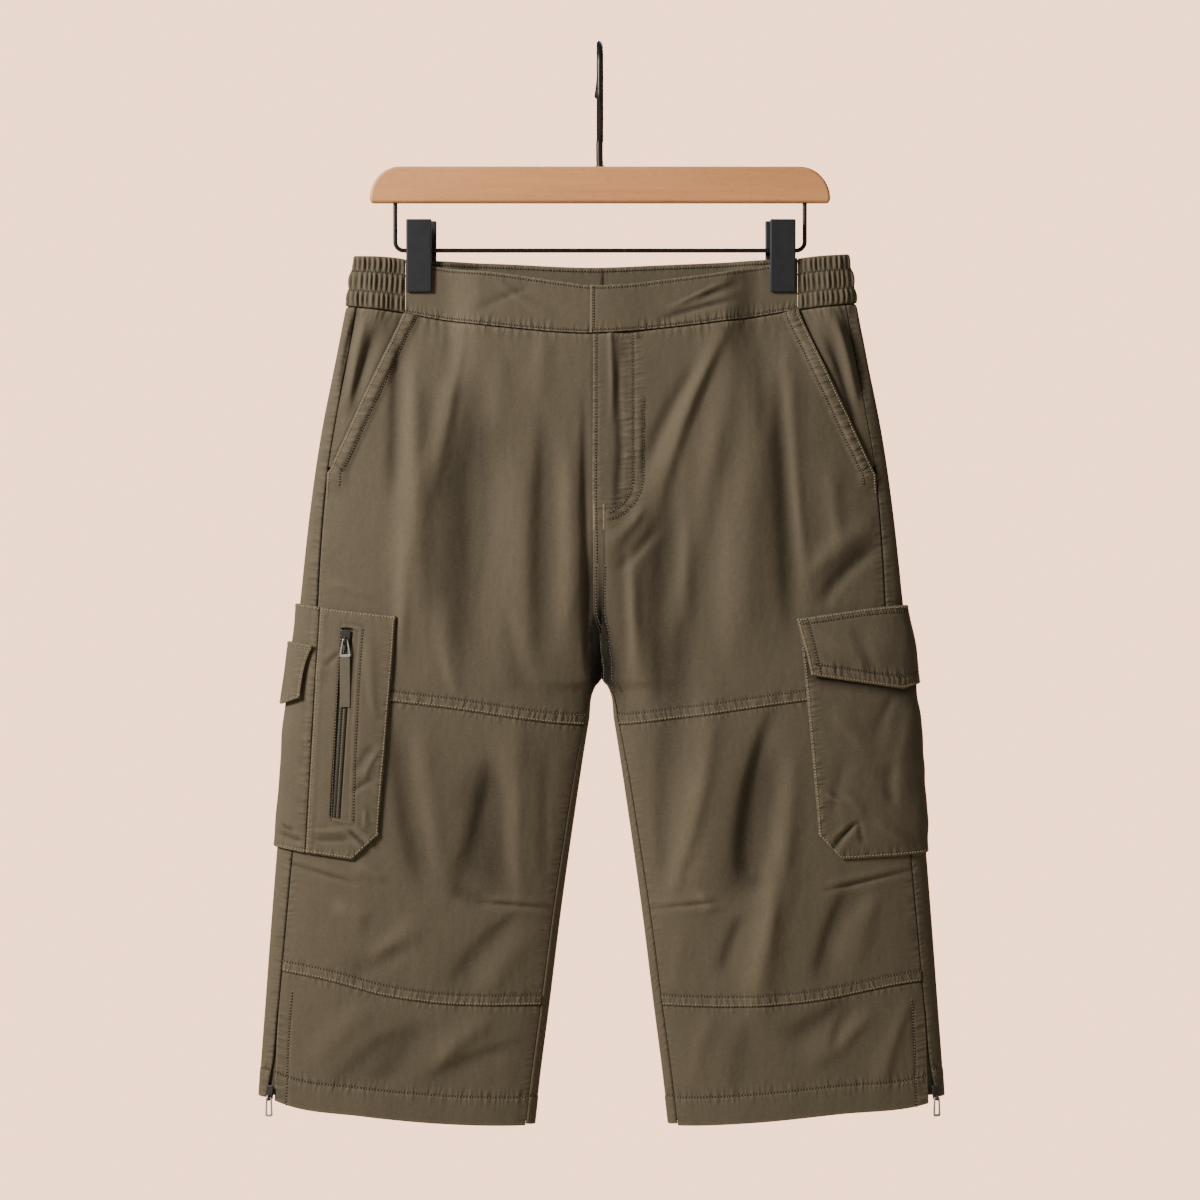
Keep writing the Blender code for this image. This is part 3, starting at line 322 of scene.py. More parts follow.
BACK_CREASES = (
    # x, drop, to x, to drop, bow, half width, lean, height
    (-40, 236, -60, 372, 4, 9, 0.2, 1.6),
    (-84, 240, -78, 352, 3, 8, -0.2, -1.5),
    (-128, 236, -104, 398, -4, 9, 0.2, 1.8),
    (-160, 250, -148, 420, 3, 8, 0.0, -1.8),
    (-196, 240, -186, 402, 3, 8, 0.2, 1.5),
    (-12, 420, -58, 492, 4, 8, 0.0, -1.7),
    (-20, 452, -82, 545, 4, 9, 0.2, 1.7),
    (-34, 500, -112, 610, 4, 10, 0.0, -1.6),
    (-52, 590, -66, 730, 3, 10, 0.2, 1.6),
    (-130, 620, -116, 770, 3, 12, 0.0, -1.9),
    (-196, 590, -214, 720, 3, 10, 0.2, 1.5),
    (-60, 742, -142, 800, 4, 9, 0.0, -1.5),
    (-92, 780, -178, 842, 4, 9, 0.2, 1.5),
    (-190, 790, -252, 866, 3, 9, 0.0, -1.3),
    (36, 240, 58, 384, 4, 9, 0.2, 1.5),
    (76, 236, 72, 338, 3, 8, 0.0, -1.5),
    (124, 240, 104, 410, -4, 10, 0.2, 1.7),
    (166, 246, 150, 404, 3, 8, 0.0, -1.7),
    (198, 236, 190, 420, 3, 8, -0.2, 1.4),
    (10, 414, 60, 480, 4, 8, 0.0, -1.7),
    (18, 446, 88, 552, 4, 9, 0.2, 1.8),
    (30, 506, 104, 604, 4, 10, 0.0, -1.5),
    (48, 600, 74, 748, 3, 10, 0.2, 1.7),
    (124, 612, 108, 752, 3, 12, 0.0, -1.9),
    (204, 600, 210, 742, 3, 10, 0.2, 1.5),
    (66, 748, 138, 812, 4, 9, 0.0, -1.5),
    (100, 782, 188, 838, 4, 9, 0.2, 1.4),
    (196, 786, 246, 872, 3, 9, 0.0, -1.3),
)
ZIP_POCKET_CREASES = (
    # x, drop, to x, to drop, bow, half width, lean, height
    (-232, 526, -219, 513, 0, 4, 0.0, -0.8),
    (-190, 591, -206, 615, 1, 4, 0.2, -0.6),
    (-186, 596, -200, 622, 1, 5, -0.2, 0.6),
    (-188, 619, -209, 632, 1, 4, 0.0, -0.6),
    (-198, 646, -198, 664, 0, 3, 0.0, 0.6),
    (-241, 671, -208, 670, 1, 3, 0.0, -0.6),
    (-242, 664, -206, 662, 1, 4, 0.0, 0.7),
    (-268, 660, -258, 664, 0, 3, 0.0, -0.6),
    (-271, 666, -249, 674, 0, 3, 0.2, -0.6),
    (-222, 512, -241, 540, 2, 7, 0.0, 0.6),
    (-195, 500, -190, 570, 1, 6, 0.0, 0.7),
)
FLAP_POCKET_CREASES = (
    # x, drop, to x, to drop, bow, half width, lean, height
    (196, 679, 218, 657, -2, 3.6, 0.3, -1.3),
    (217, 656, 221, 676, 0, 3.4, 0.2, -1.0),
    (206, 634, 222, 652, -1, 4.4, 0.0, 0.8),
    (189, 632, 203, 640, 1, 3.4, 0.0, 1.1),
    (245, 606, 247, 645, 2, 9, 0.0, -1.6),
    (196, 560, 228, 600, 3, 12, 0.2, 1.0),
    (208, 600, 196, 650, 2, 9, 0.0, -0.9),
    (262, 560, 250, 640, 2, 8, 0.2, 1.1),
    (232, 655, 262, 676, 2, 6, 0.0, 1.0),
    (248, 548, 230, 592, 2, 8, 0.0, -1.0),
)
FLAP_CREASES = (
    # x, drop, to x, to drop, bow, half width, lean, height
    (186, 505, 240, 521, 2, 12, 0.0, 0.8),
    (214, 490, 232, 536, 2, 9, 0.2, -0.8),
)
BAND_CREASES = (
    # x, drop, to x, to drop, bow, half width, lean, height
    (115, 214, 51, 232, 1, 5, 0.2, -1.1),
    (119, 201, 85, 214, 1, 4, 0.0, -0.9),
    (108, 200, 60, 222, 1, 4, 0.0, 0.8),
    (-60, 204, -110, 226, 1, 6, 0.0, -0.6),
    (-92, 196, -40, 232, 2, 7, 0.0, 0.5),
)
CREASES = {
    "front": FRONT_CREASES, "back": BACK_CREASES, "zip pocket": ZIP_POCKET_CREASES,
    "flap pocket": FLAP_POCKET_CREASES, "flap": FLAP_CREASES, "band": BAND_CREASES,
}
# Darts and stitched creases: a groove that is deepest at its start, with a soft edge below it
DARTS = (
    # on, x, drop, to x, to drop, half width, depth
    ("front", -40, 730.5, -106, 724.5, 1.7, 2.4),
    ("front", -262, 692.5, -202, 710.5, 1.7, 2.4),
    ("front", 42, 731, 105, 724.5, 1.7, 2.4),
    ("front", 264, 698, 184, 716.5, 1.7, 2.4),
    ("zip pocket", -197, 677, -213.4, 661.5, 1.5, 1.5),
    ("flap pocket", 196, 679, 217, 656.5, 1.5, 1.5),
)

FINISH = {}  # each finish's material, once it is made


def along(at, rows, column=1):
    """A table's column at these places: a cubic between rows, each slope the mean of its neighbours'."""
    table = np.array(rows, float)
    xs, ys = table[:, 0], table[:, column]
    slopes = np.gradient(ys, xs)
    at = np.clip(at, xs[0], xs[-1])
    i = np.clip(np.searchsorted(xs, at) - 1, 0, len(xs) - 2)
    step = xs[i + 1] - xs[i]
    t = (at - xs[i]) / step
    return (
        (1 + 2 * t) * (1 - t) ** 2 * ys[i]
        + t * (1 - t) ** 2 * step * slopes[i]
        + t * t * (3 - 2 * t) * ys[i + 1]
        + t * t * (t - 1) * step * slopes[i + 1]
    )


def straight(at, rows):
    """The same between rows joined by straight lines, for an outline with corners."""
    table = np.array(rows, float)
    return np.interp(at, table[:, 0], table[:, 1])


def ease(value, start, end):
    """0 before start and 1 after end, with a smooth step between. start may be the larger."""
    t = np.clip((value - start) / (end - start), 0, 1)
    return t * t * (3 - 2 * t)


def bell(off, half_width):
    return np.exp(-((off / half_width) ** 2))


def uneven(at, seed):
    """A smooth wander between about -1 and 1, the sum of three sines of unrelated lengths."""
    return (
        np.sin(at * 1.0 + seed * 2.4) + 0.7 * np.sin(at * 1.73 + seed * 5.1)
        + 0.5 * np.sin(at * 2.91 + seed * 9.7)
    ) / 1.7


def unit(vectors):
    return vectors / np.maximum(np.linalg.norm(vectors, axis=-1, keepdims=True), 1e-9)


def arc_of(line):
    """Distances along a line of points."""
    return np.append(0, np.cumsum(np.linalg.norm(np.diff(line, axis=0), axis=1)))


def at_arc(where, arc, values):
    """The points or normals of a line at these distances along it."""
    return np.stack([np.interp(where, arc, values[:, k]) for k in range(3)], 1)


def along_a_line(x, drop, x0, d0, x1, d1):
    """How far along a line each place is, as a share, and the line's heading."""
    length = np.hypot(x1 - x0, d1 - d0)
    ux, ud = (x1 - x0) / length, (d1 - d0) / length
    return ((x - x0) * ux + (drop - d0) * ud) / length, ux, ud


def crease_height(on, x, drop):
    """The sum of this surface's creases: each is a bell across a bowed line, wider on one side of it,
    and fades in and out along it. A dart is a narrow groove that fades out towards its point."""
    total = np.zeros(np.broadcast(x, drop).shape)
    strength = bpy.context.scene.shorts_cloth.crease * (0.6 if on == "flap pocket" else 1.0)
    soften = 1.4 if on in ("front", "back") else 1.0
    for x0, d0, x1, d1, bow, half_width, lean, height in CREASES[on]:
        t, ux, ud = along_a_line(x, drop, x0, d0, x1, d1)
        off = (x - x0) * ud - (drop - d0) * ux + bow * 4 * t * (1 - t)
        fade = ease(t, -0.12, 0.3) * ease(t, 1.12, 0.7)
        wide = soften * half_width * (0.75 + 0.25 * np.cos(3 * t + x0)) * (1 + lean * np.sign(off))
        total = total + strength * height * fade * bell(off, wide)
    for where, x0, d0, x1, d1, half_width, depth in DARTS:
        if where != on:
            continue
        t, ux, ud = along_a_line(x, drop, x0, d0, x1, d1)
        off = (drop - d0) * abs(ux) - (x - x0) * ud * np.sign(ux)
        fade = ease(t, -0.04, 0.02) * ease(t, 1.05, 0.55)
        groove = -depth * bell(off, half_width) + 0.5 * depth * bell(off + 5, 3.2)
        total = total + fade * (groove + 0.35 * depth * bell(off - 5, 4))
    return total


def fold_height(face, x, drop):
    """The sum of the folds at each point: each is a bell across its line, eased in and out along it."""
    total = np.zeros(np.broadcast(x, drop).shape)
    for where, x_top, x_bottom, first, last, half_width, height in FOLDS:
        line = x_top + (x_bottom - x_top) * (drop - first) / (last - first)
        reach = (last - first) / 3
        fade = ease(drop, first, first + reach) * ease(drop, last, last - reach)
        on_face = face < 0 if where == "front" else face > 0
        total = total + on_face * fade * height * bell(x - line, half_width)
    return total


def inner_edge_at(drop):
    """The inner edge of a leg, and 0 above the crotch, where it starts as a round arch."""
    arch = 6.0 * np.clip((drop - CROTCH_DROP) / 5.5, 0, 1) ** 0.5
    return np.where(drop < CROTCH_DROP + 5.5, arch, np.maximum(along(drop, OUTLINE, 2), arch))


def surface(side, turn, drop, creased=True):
    """A point of the cloth's outer face. turn goes round the section: 0 is the centre front or the inner
    edge of the leg, 1 the outer edge, 2 the centre back or the inner edge, and past 2 is the front again."""
    turn, drop = np.broadcast_arrays(np.asarray(turn, float), np.asarray(drop, float))
    outer, depth, joined = (along(drop, OUTLINE, column) for column in (1, 3, 4))
    inner = inner_edge_at(drop)
    face = np.where((turn > 1) & (turn <= 2), 1.0, -1.0)
    quarter = np.where(turn > 2, turn - 2, np.where(turn > 1, 2 - turn, np.abs(turn)))
    across = np.sin(np.pi / 2 * quarter) ** 2
    from_centre = (inner + across * (outer - inner)) * np.where(turn < 0, -1, 1)
    leg = (4 * across * (1 - across)) ** FULLNESS
    torso = (1 - across**2) ** FULLNESS
    meeting = CROTCH_HALF * (1 - across) ** 6 * ease(drop, CROTCH_DROP + 8, CROTCH_DROP)
    away = depth * ((1 - joined) * leg + joined * torso) + meeting * (1 - joined)
    x = CENTRE_X + side * from_centre
    folds = all_folds(face, x, drop) if creased else fold_height(face, x, drop)
    away = away + folds * np.minimum(1, 4 * across * (1 - across) + joined)
    beside = np.abs(from_centre)
    in_clip = ease(beside, *PINCH_IN) * ease(beside, *PINCH_OUT) * ease(drop, *PINCH_BELOW)
    away = away * (1 - in_clip) + in_clip * PINCHED
    return np.stack([x, face * away, -drop], axis=-1)


def all_folds(face, x, drop):
    creases = np.where(face < 0, crease_height("front", x, drop), crease_height("back", x, drop))
    return 1.75 * fold_height(face, x, drop) + creases + gathers(x, drop)


def gathers(x, drop):
    """Short folds that hang from the waist seam, uneven in pitch, length and height, and strongest below
    the clips and the shirred sides."""
    below = drop - along(x, WAIST_SEAM_FRONT)
    beside = np.abs(x - CENTRE_X)
    near_clip = bell(beside - 150, 36)
    phase = x * 0.62 + 2.2 * np.sin(x * 0.081) + 1.4 * np.sin(x * 0.193 + 1)
    length = 16 + 14 * near_clip + 8 * uneven(x * 0.09, 3)
    height = 0.35 + 0.75 * near_clip + 0.2 * uneven(x * 0.11, 7)
    fade = ease(below, length, 0) * ease(below, -1.5, 2.5)
    return height * np.sin(phase) * fade * ease(beside, 12, 40)


def outward(side, turn, drop, creased=True):
    """Unit normals of the surface, from small steps round it and down it."""
    turn_step, drop_step = 1e-3, 0.5
    round_it = surface(side, turn + turn_step, drop, creased) - surface(side, turn - turn_step, drop, creased)
    down_it = surface(side, turn, drop + drop_step, creased) - surface(side, turn, drop - drop_step, creased)
    return unit(np.cross(down_it, round_it) * side)


def turn_at(side, x, drop):
    """The turn at which the front of the surface has this x."""
    outer, inner = along(drop, OUTLINE, 1), inner_edge_at(drop)
    from_centre = side * (np.asarray(x, float) - CENTRE_X)
    share = np.clip((np.abs(from_centre) - inner) / (outer - inner), 0, 1)
    return np.where(from_centre < 0, -1, 1) * np.arccos(1 - 2 * share) / np.pi


def settle(side, turns, rows, columns, top, bottom):
    """Turns and drops of a grid whose side edges depend on the drop and whose ends depend on x.
    Each pass works the turns out from the drops and the drops from the x they give."""
    first_drop, passes = 500.0, 12
    drop = np.full((len(rows), columns), first_drop)
    for _ in range(passes):
        turn = turns(drop)
        x = surface(side, turn, drop, creased=False)[..., 0]
        drop = top(x) + np.asarray(rows, float)[:, None] * (bottom(x) - top(x))
    return turn, drop


FOLD_SHADED, FOLD_LIT, DARKEST = 4.4, 9.0, 2.2  # the painted shade is full in folds this deep, and the painted highlight in folds this tall; the top of the painted shade
LAID = {}  # each piece of cloth once it is laid out: its points, normals and distances from its edges


def spaced(length, step, fine=(), edge=0.5):
    """Shares of a length: places close together at both ends and in the fine stretches."""
    marks = [0.0]
    while marks[-1] < length:
        at = marks[-1]
        size = min(step, edge + min(at, max(length - at, 0)) / 5)
        for first, last, small in fine:
            if first <= at < last:
                size = min(size, small)
        marks.append(at + size)
    return np.array(marks) / marks[-1]


def pieced(breaks, length, step):
    """Shares that include each of these breaks, evenly spaced between them."""
    runs = [
        np.linspace(a, b, max(2, int(round((b - a) * length / step)) + 1))[:-1]
        for a, b in zip(breaks[:-1], breaks[1:])
    ]
    return np.append(np.concatenate(runs), breaks[-1])


def runs(points, axis):
    """Arc lengths along one direction of a grid: from its start, and to its end."""
    steps = np.linalg.norm(np.diff(points, axis=axis), axis=-1)
    start = np.zeros_like(np.take(steps, [0], axis=axis))
    come = np.concatenate([start, np.cumsum(steps, axis=axis)], axis=axis)
    return come, np.take(come, [-1], axis=axis) - come


def grid_normals(side, points):
    """Unit normals of a grid that face outwards: the cross product of its two directions."""
    down, round_it = np.gradient(points, axis=0), np.gradient(points, axis=1)
    return unit(np.cross(down, round_it) * side)


def smoothed(height):
    """A height averaged over its neighbours twice, along both directions of its grid."""
    for axis in (0, 1, 0, 1):
        wide = np.pad(height, [(int(k == axis),) * 2 for k in (0, 1)], mode="edge")
        places = np.arange(height.shape[axis])
        height = sum(np.take(wide, places + k, axis) for k in range(3)) / 3
    return height


def lay(name, side, turn, drop, shape, masks=None):
    """Lays out a piece: the surface moved outwards by shape(place), where place holds x, drop and the
    distances from the piece's four edges. masks(place) gives its pucker masks, its lighter edges (partly rubbed
    lighter, partly painted highlight) and its painted shade. To these it adds painted shade in the troughs of the
    folds and in small dents, and painted highlight on the fold ridges and small bumps."""
    base = surface(side, turn, drop)
    first, last = runs(base, 1)
    below, above = runs(base, 0)
    place = {
        "x": base[..., 0], "drop": drop, "turn": turn,
        "first": first, "last": last, "below": below, "above": above,
    }
    height = np.broadcast_to(shape(place), drop.shape)
    points = base + outward(side, turn, drop) * height[..., None]
    sheet = dict(place, side=side, points=points, normals=grid_normals(side, points))
    found = masks(place) if masks else {}
    face = np.where((turn > 1) & (turn <= 2), 1.0, -1.0)
    folds, relief = all_folds(face, place["x"], drop), height - smoothed(height)
    # Painted shade in fold troughs and small dents, and painted highlight on fold ridges and small bumps
    hollow = np.clip(-2.2 * relief, 0, 0.9) + np.clip(-folds / FOLD_SHADED, 0, 0.95)
    found["hollow"] = np.minimum(found.get("hollow", 0.0) + hollow, DARKEST)
    found["wear"] = found.get("wear", 0.0) + np.clip(1.5 * relief, 0, 0.6) + np.clip(folds / FOLD_LIT, 0, 0.5)
    sheet["masks"] = found
    LAID[name] = sheet
    return sheet


def between(side, stations, rows, first_turn, last_turn, top, bottom):
    """Turns and drops of a piece between two side edges and two ends."""
    share = np.asarray(stations, float)[None, :]
    return settle(
        side, lambda drop: first_turn(drop) + share * (last_turn(drop) - first_turn(drop)),
        rows, share.size, top, bottom,
    )


def mesh_of(name, points, faces):
    """A mesh from points in millimetres."""
    mesh = bpy.data.meshes.new(name)
    mesh.from_pydata((np.asarray(points).reshape(-1, 3) * MM).tolist(), [], faces)
    return mesh


def placed(name, mesh, finish, body="root", nodes=(), sharp=True):
    """Links a mesh as a piece with its finish and slot. It rides on a body and stands for CAD nodes."""
    mesh.shade_smooth()
    if sharp:
        mesh.set_sharp_from_angle(angle=np.radians(50))
    mesh.materials.append(FINISH[finish])
    made = bpy.data.objects.new(name, mesh)
    bpy.context.scene.collection.objects.link(made)
    if nodes:
        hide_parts(*nodes)
    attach(made, body)
    return made


def cut_piece(name, side, grid, shape, masks=None, **more):
    """Lays out a piece on its grid of turns and drops, and makes its mesh."""
    sheet_object(name, lay(name, side, *grid, shape, masks), **more)


def sheet_object(name, sheet, nodes=None, finish="twill", wall=WALL, hole=None):
    """Makes the mesh of a laid-out piece: its outer face, its weave coordinates in metres, its masks and a
    wall inwards. It stands for CAD nodes, and works out the area of its cells."""
    points = sheet["points"]
    rows, columns = points.shape[:2]
    index = np.arange(rows * columns).reshape(rows, columns)
    faces = np.stack([c.ravel() for c in (index[:-1, :-1], index[1:, :-1], index[1:, 1:], index[:-1, 1:])], 1)
    if hole is not None:
        faces = faces[~hole.ravel()]
    if sheet["side"] < 0:
        faces = faces[:, ::-1]
    used, faces = np.unique(faces, return_inverse=True)
    faces = faces.reshape(-1, 4)
    kind = "cloth" if finish == "twill" else "woven"
    mesh = mesh_of(f"{kind}_{name}", points.reshape(-1, 3)[used], faces.tolist())
    across, down = runs(points, 1)[0], runs(points, 0)[0]
    weave = np.stack([across, down], -1).reshape(-1, 2)[used] * MM
    mesh.uv_layers.new(name="weave").data.foreach_set("uv", weave[faces.ravel()].ravel())
    # Attributes: the pucker masks, lighter edges and ridges (partly rubbed lighter, partly painted highlight) and
    # painted shade
    for mask in ("pucker_down", "pucker_across", "wear", "hollow"):
        values = np.broadcast_to(sheet["masks"].get(mask, 0.0), (rows, columns)).reshape(-1)[used]
        mesh.attributes.new(mask, "FLOAT", "POINT").data.foreach_set("value", values.astype(np.float32))
    made = placed(f"{kind}_{name}", mesh, finish, nodes=nodes or [name], sharp=False)
    thickness = made.modifiers.new("wall", "SOLIDIFY")
    thickness.thickness, thickness.offset = wall * MM, -1
    thickness.use_quality_normals = True
    quads = points[1:, 1:] - points[:-1, :-1], points[1:, :-1] - points[:-1, 1:]
    area = 0.5 * np.linalg.norm(np.cross(*quads), axis=-1)
    area = area if hole is None else area[~hole]


def front_edge(side, table, inset=0.0):
    return lambda drop: turn_at(side, CENTRE_X + side * (along(drop, table) + inset), drop)


def fixed_turn(turn):
    return lambda drop: np.full_like(drop, turn)


def line_at(table, inset=0.0):
    return lambda x: along(x, table) + inset


def corner_line(table, inset=0.0):
    return lambda x: straight(x, table) + inset


def level_line(drop):
    return lambda x: np.full_like(x, drop)


def inseam(side, inset):
    def turn(drop):
        edge = inner_edge_at(drop) + along(drop, INSEAM_IN) + inset
        return turn_at(side, CENTRE_X + side * edge, drop)

    return turn


def turned(off, radius=0.8):
    """How far the face of a turned edge falls away within a radius of the edge."""
    share = np.clip(1 - off / radius, 0, 1)
    return -radius * (1 - np.sqrt(1 - share**2 * 0.98))


def tucked(below):
    """How far the top of a panel goes in behind the waistband."""
    return 2.0 * ease(below, TUCK + 1.8, TUCK * 0.6) + 0.4 * ease(below, TUCK + 4, TUCK)


def felled(off, width):
    """A stitched-down allowance between a seam and the row at its far edge: raised, with a groove at each."""
    raised = 0.5 * ease(off, 0.6, 1.8) * ease(off, width + 1.6, width - 0.4)
    return raised - 0.45 * bell(off - width - 0.5, 1.0) - 0.3 * bell(off - 1.2, 0.7)


def sewn(off, at, depth=0.35):
    """The groove that a row of stitches pulls into the cloth."""
    return -depth * bell(off - at, 0.9)


def edged(at, **edges):
    """Turned edges and stitch grooves. Each edge has the radius of its fold, then the distance from it and
    the depth of each row."""
    height = 0.0
    for edge, (radius, *rows) in edges.items():
        height = height + turned(at[edge], radius) + sum(sewn(at[edge], *row) for row in rows)
    return height


def part_way(at):
    """How far across and down its piece each place is, as shares."""
    return at["first"] / (at["first"] + at["last"]), at["below"] / (at["below"] + at["above"])


def fullness(at):
    """How a patch pocket stands out: most in its middle, and not at its edges."""
    across, down = part_way(at)
    return np.sin(np.pi * across) ** 0.8 * np.sin(np.pi * down) ** 0.6


def evenly(side, stations, first_turn, last_turn):
    """Turns of columns that are spread evenly in x between two side edges."""
    share = np.asarray(stations, float)[None, :]

    def turns(drop):
        first = surface(side, first_turn(drop), drop, creased=False)[..., 0]
        last = surface(side, last_turn(drop), drop, creased=False)[..., 0]
        return turn_at(side, first + share * (last - first), drop)

    return turns, share.size


def front_upper(label, side):
    """Waist seam to thigh seam, with the pocket mouth, the fly and the felled seam at its foot."""
    laps_over = side > 0

    def inner(drop):
        torso = turn_at(side, CENTRE_X + along(drop, FLY_EDGE if laps_over else FLY_UNDER), drop)
        below = ease(drop, 478, 528)
        return (1 - below) * torso + below * inseam(side, GAP)(drop)

    def outer(drop):
        mouth, seam = straight(drop, POCKET_MOUTH), along(drop, SIDE_SEAM) - GAP
        return turn_at(side, CENTRE_X + side * np.where(drop < MOUTH_END, np.minimum(mouth, seam), seam), drop)

    def shape(at):
        x, drop = at["x"] - CENTRE_X, at["drop"]
        mouth = ease(drop, MOUTH_END + 12, MOUTH_END - 3)
        to_mouth = straight(drop, POCKET_MOUTH) - side * x
        lifted = MOUTH_LIFT * ease(to_mouth, 17, 8) * ease(drop, MOUTH_END + 19, MOUTH_END - 3)
        height = turned(at["last"]) + felled(at["above"], FELL_WIDE)
        height = height + mouth * (sewn(at["last"], MOUTH_EDGE_ROW) + sewn(at["last"], MOUTH_BAND, 0.6))
        height = height + mouth * 0.35 * bell(at["last"] - MOUTH_BAND / 2 - 1, 3)
        height = height - tucked(at["below"])
        if not laps_over:
            return height + lifted
        lap = LAP_LIFT * ease(x, 24, 6) * ease(drop, 532, 505)
        height = height + 1.5 * bell(x - 8.5 - 0.8 * np.sin(drop * 0.07), 2.8) * ease(drop, 330, 280)
        valley = 1.5 * bell(x - 15.0 - 1.2 * np.sin(drop * 0.06), 3.8)
        height = height - valley * ease(drop, 405, 370) * ease(drop, 246, 290)
        height = height + turned(at["first"]) + sewn(at["first"], FLY_ROW) * ease(drop, 400, 380)
        rise = ease(drop, 384, 400) * ease(drop, 530, 515)
        height = height + rise * (sewn(at["first"], 1.7) + sewn(at["first"], 9.6, 0.5))
        for path in (FLY_J_INNER, FLY_J_OUTER):
            height = height - 0.6 * bell(off_path(at["x"], drop, path), 1.1)
        height = height + 0.5 * bell(at["x"] - 33, 3) * ease(drop, 380, 360) * ease(drop, 290, 310)
        return height + np.maximum(lifted, lap)

    def masks(at):
        mouth = ease(at["drop"], MOUTH_END + 12, MOUTH_END - 3)
        down = mouth * ease(at["last"], MOUTH_BAND + 7, 6) + 0.5 * (1 - mouth) * ease(at["last"], 10, 0)
        # Lighter at the mouth edge and the felled foot, partly rubbed lighter and partly painted highlight
        wear = bell(at["last"], 1.5) * mouth + 0.6 * bell(at["above"] - 1.5, 1.5)
        # Painted shade just below the waistband
        hollow = 0.6 * ease(at["below"], 5, 0)
        if laps_over:
            near = bell(off_path(at["x"], at["drop"], FLY_J_INNER) - 3, 7)
            down = down + near + ease(at["first"], 11, 2) * ease(at["drop"], 410, 380)
            # A lighter lapped edge, partly rubbed lighter and partly painted highlight
            wear = wear + 1.0 * bell(at["first"] - 0.5, 1.2) * ease(at["drop"], 470, 440)
            # A painted shadow along the lapped edge
            hollow = hollow + 0.9 * bell(at["first"], 0.8)
        else:
            # A painted shadow along the inner edge, under the other front's lap
            hollow = hollow + ease(at["first"], 14, 9.5) * ease(at["drop"], 530, 490)
        # Painted shade in the recess above the crotch
        seat = bell(at["x"] - CENTRE_X, 3 + 9 * ease(at["drop"], 455, 545)) * ease(at["drop"], 425, 490)
        hollow = hollow + 2.15 * seat
        across = 0.8 * ease(at["above"], FELL_WIDE + 7, 5) + 0.7 * ease(at["below"], 14, 0)
        return {"pucker_down": down, "pucker_across": across, "wear": wear, "hollow": hollow}

    turns, columns = evenly(side, spaced(238, 2.6, ((4, 46, 1.4), (216, 232, 1.6))), inner, outer)
    grid = settle(
        side, turns, spaced(322, 2.7, ((288, 306, 0.8), (306, 320, 1.0))), columns,
        line_at(WAIST_SEAM_FRONT, -TUCK), line_at(THIGH_SEAM, -GAP),
    )
    cut_piece(f"front_upper_{label}", side, grid, shape, masks)


def off_path(x, drop, path):
    """Distance from the nearest part of a line of points, as a whole array for each straight piece."""
    nearest = np.full(np.broadcast(x, drop).shape, 1e3)
    for (x0, d0), (x1, d1) in zip(path[:-1], path[1:]):
        dx, dd = x1 - x0, d1 - d0
        t = np.clip(((x - x0) * dx + (drop - d0) * dd) / (dx * dx + dd * dd), 0, 1)
        nearest = np.minimum(nearest, np.hypot(x - x0 - t * dx, drop - d0 - t * dd))
    return nearest


def seam_masks(at):
    """Puckers along all four edges, a lighter edge at the felled foot, partly rubbed lighter and partly painted
    highlight, and painted shade along the top edge.
    """
    down = 0.45 * ease(at["first"], 12, 0) + 0.6 * ease(at["last"], 12, 0)
    across = 0.8 * ease(at["above"], FELL_WIDE + 8, 5) + 0.6 * ease(at["below"], 9, 0)
    return {
        "pucker_down": down, "pucker_across": across,
        "wear": 0.6 * bell(at["above"] - 1.5, 1.5), "hollow": 0.35 * ease(at["below"], 3, 0),
    }


def front_knee(label, side):
    grid = between(
        side, spaced(236, 2.6), spaced(240, 2.7, ((150, 178, 1.2), (118, 150, 1.5), (222, 236, 1.0))),
        inseam(side, GAP), front_edge(side, SIDE_SEAM, -GAP),
        line_at(THIGH_SEAM, GAP), line_at(SHIN_SEAM, -GAP),
    )
    cut_piece(
        f"front_knee_{label}", side, grid,
        lambda at: felled(at["above"], FELL_WIDE) - 0.5 * ease(at["below"], 2, 0) + 0.4 * turned(at["last"]),
        seam_masks,
    )


def hem_shape(above):
    """The turned-up hem: double cloth as far as its stitch row, and a rounded fold at the bottom."""
    return 0.45 * ease(above, HEM_DEEP + 1.2, HEM_DEEP - 1) + sewn(above, HEM_DEEP, 0.55) + turned(above, 1.0)


def front_lower(label, side):
    def outer(drop):
        edge = np.where(drop < ANKLE_TOP, along(drop, SIDE_SEAM), along(drop, ANKLE_FRONT))
        return turn_at(side, CENTRE_X + side * (edge - GAP), drop)

    def shape(at):
        ankle = ease(at["drop"], ANKLE_TOP - 3, ANKLE_TOP + 2)
        height = hem_shape(at["above"]) - 0.5 * ease(at["below"], 2, 0) + turned(at["last"])
        return height + ankle * sewn(at["last"], ANKLE_ROW, 0.5)

    def masks(at):
        ankle = ease(at["drop"], ANKLE_TOP - 3, ANKLE_TOP + 2)
        found = seam_masks(at)
        found["pucker_across"] = 0.9 * bell(at["above"] - HEM_DEEP, 6) + 0.6 * ease(at["below"], 9, 0)
        found["pucker_down"] = 0.45 * ease(at["first"], 12, 0) + 0.8 * ankle * ease(at["last"], 16, 4)
        # A lighter hem fold and ankle edge, partly rubbed lighter and partly painted highlight
        found["wear"] = 0.7 * bell(at["above"] - 0.6, 1.2) + 0.6 * ankle * bell(at["last"] - 0.5, 1)
        return found

    grid = between(
        side, spaced(232, 2.6, ((212, 228, 1.3),)), spaced(104, 2.5, ((70, 82, 1.0),)), inseam(side, GAP),
        outer, line_at(SHIN_SEAM, GAP), line_at(HEM_FRONT),
    )
    cut_piece(f"front_lower_{label}", side, grid, shape, masks)


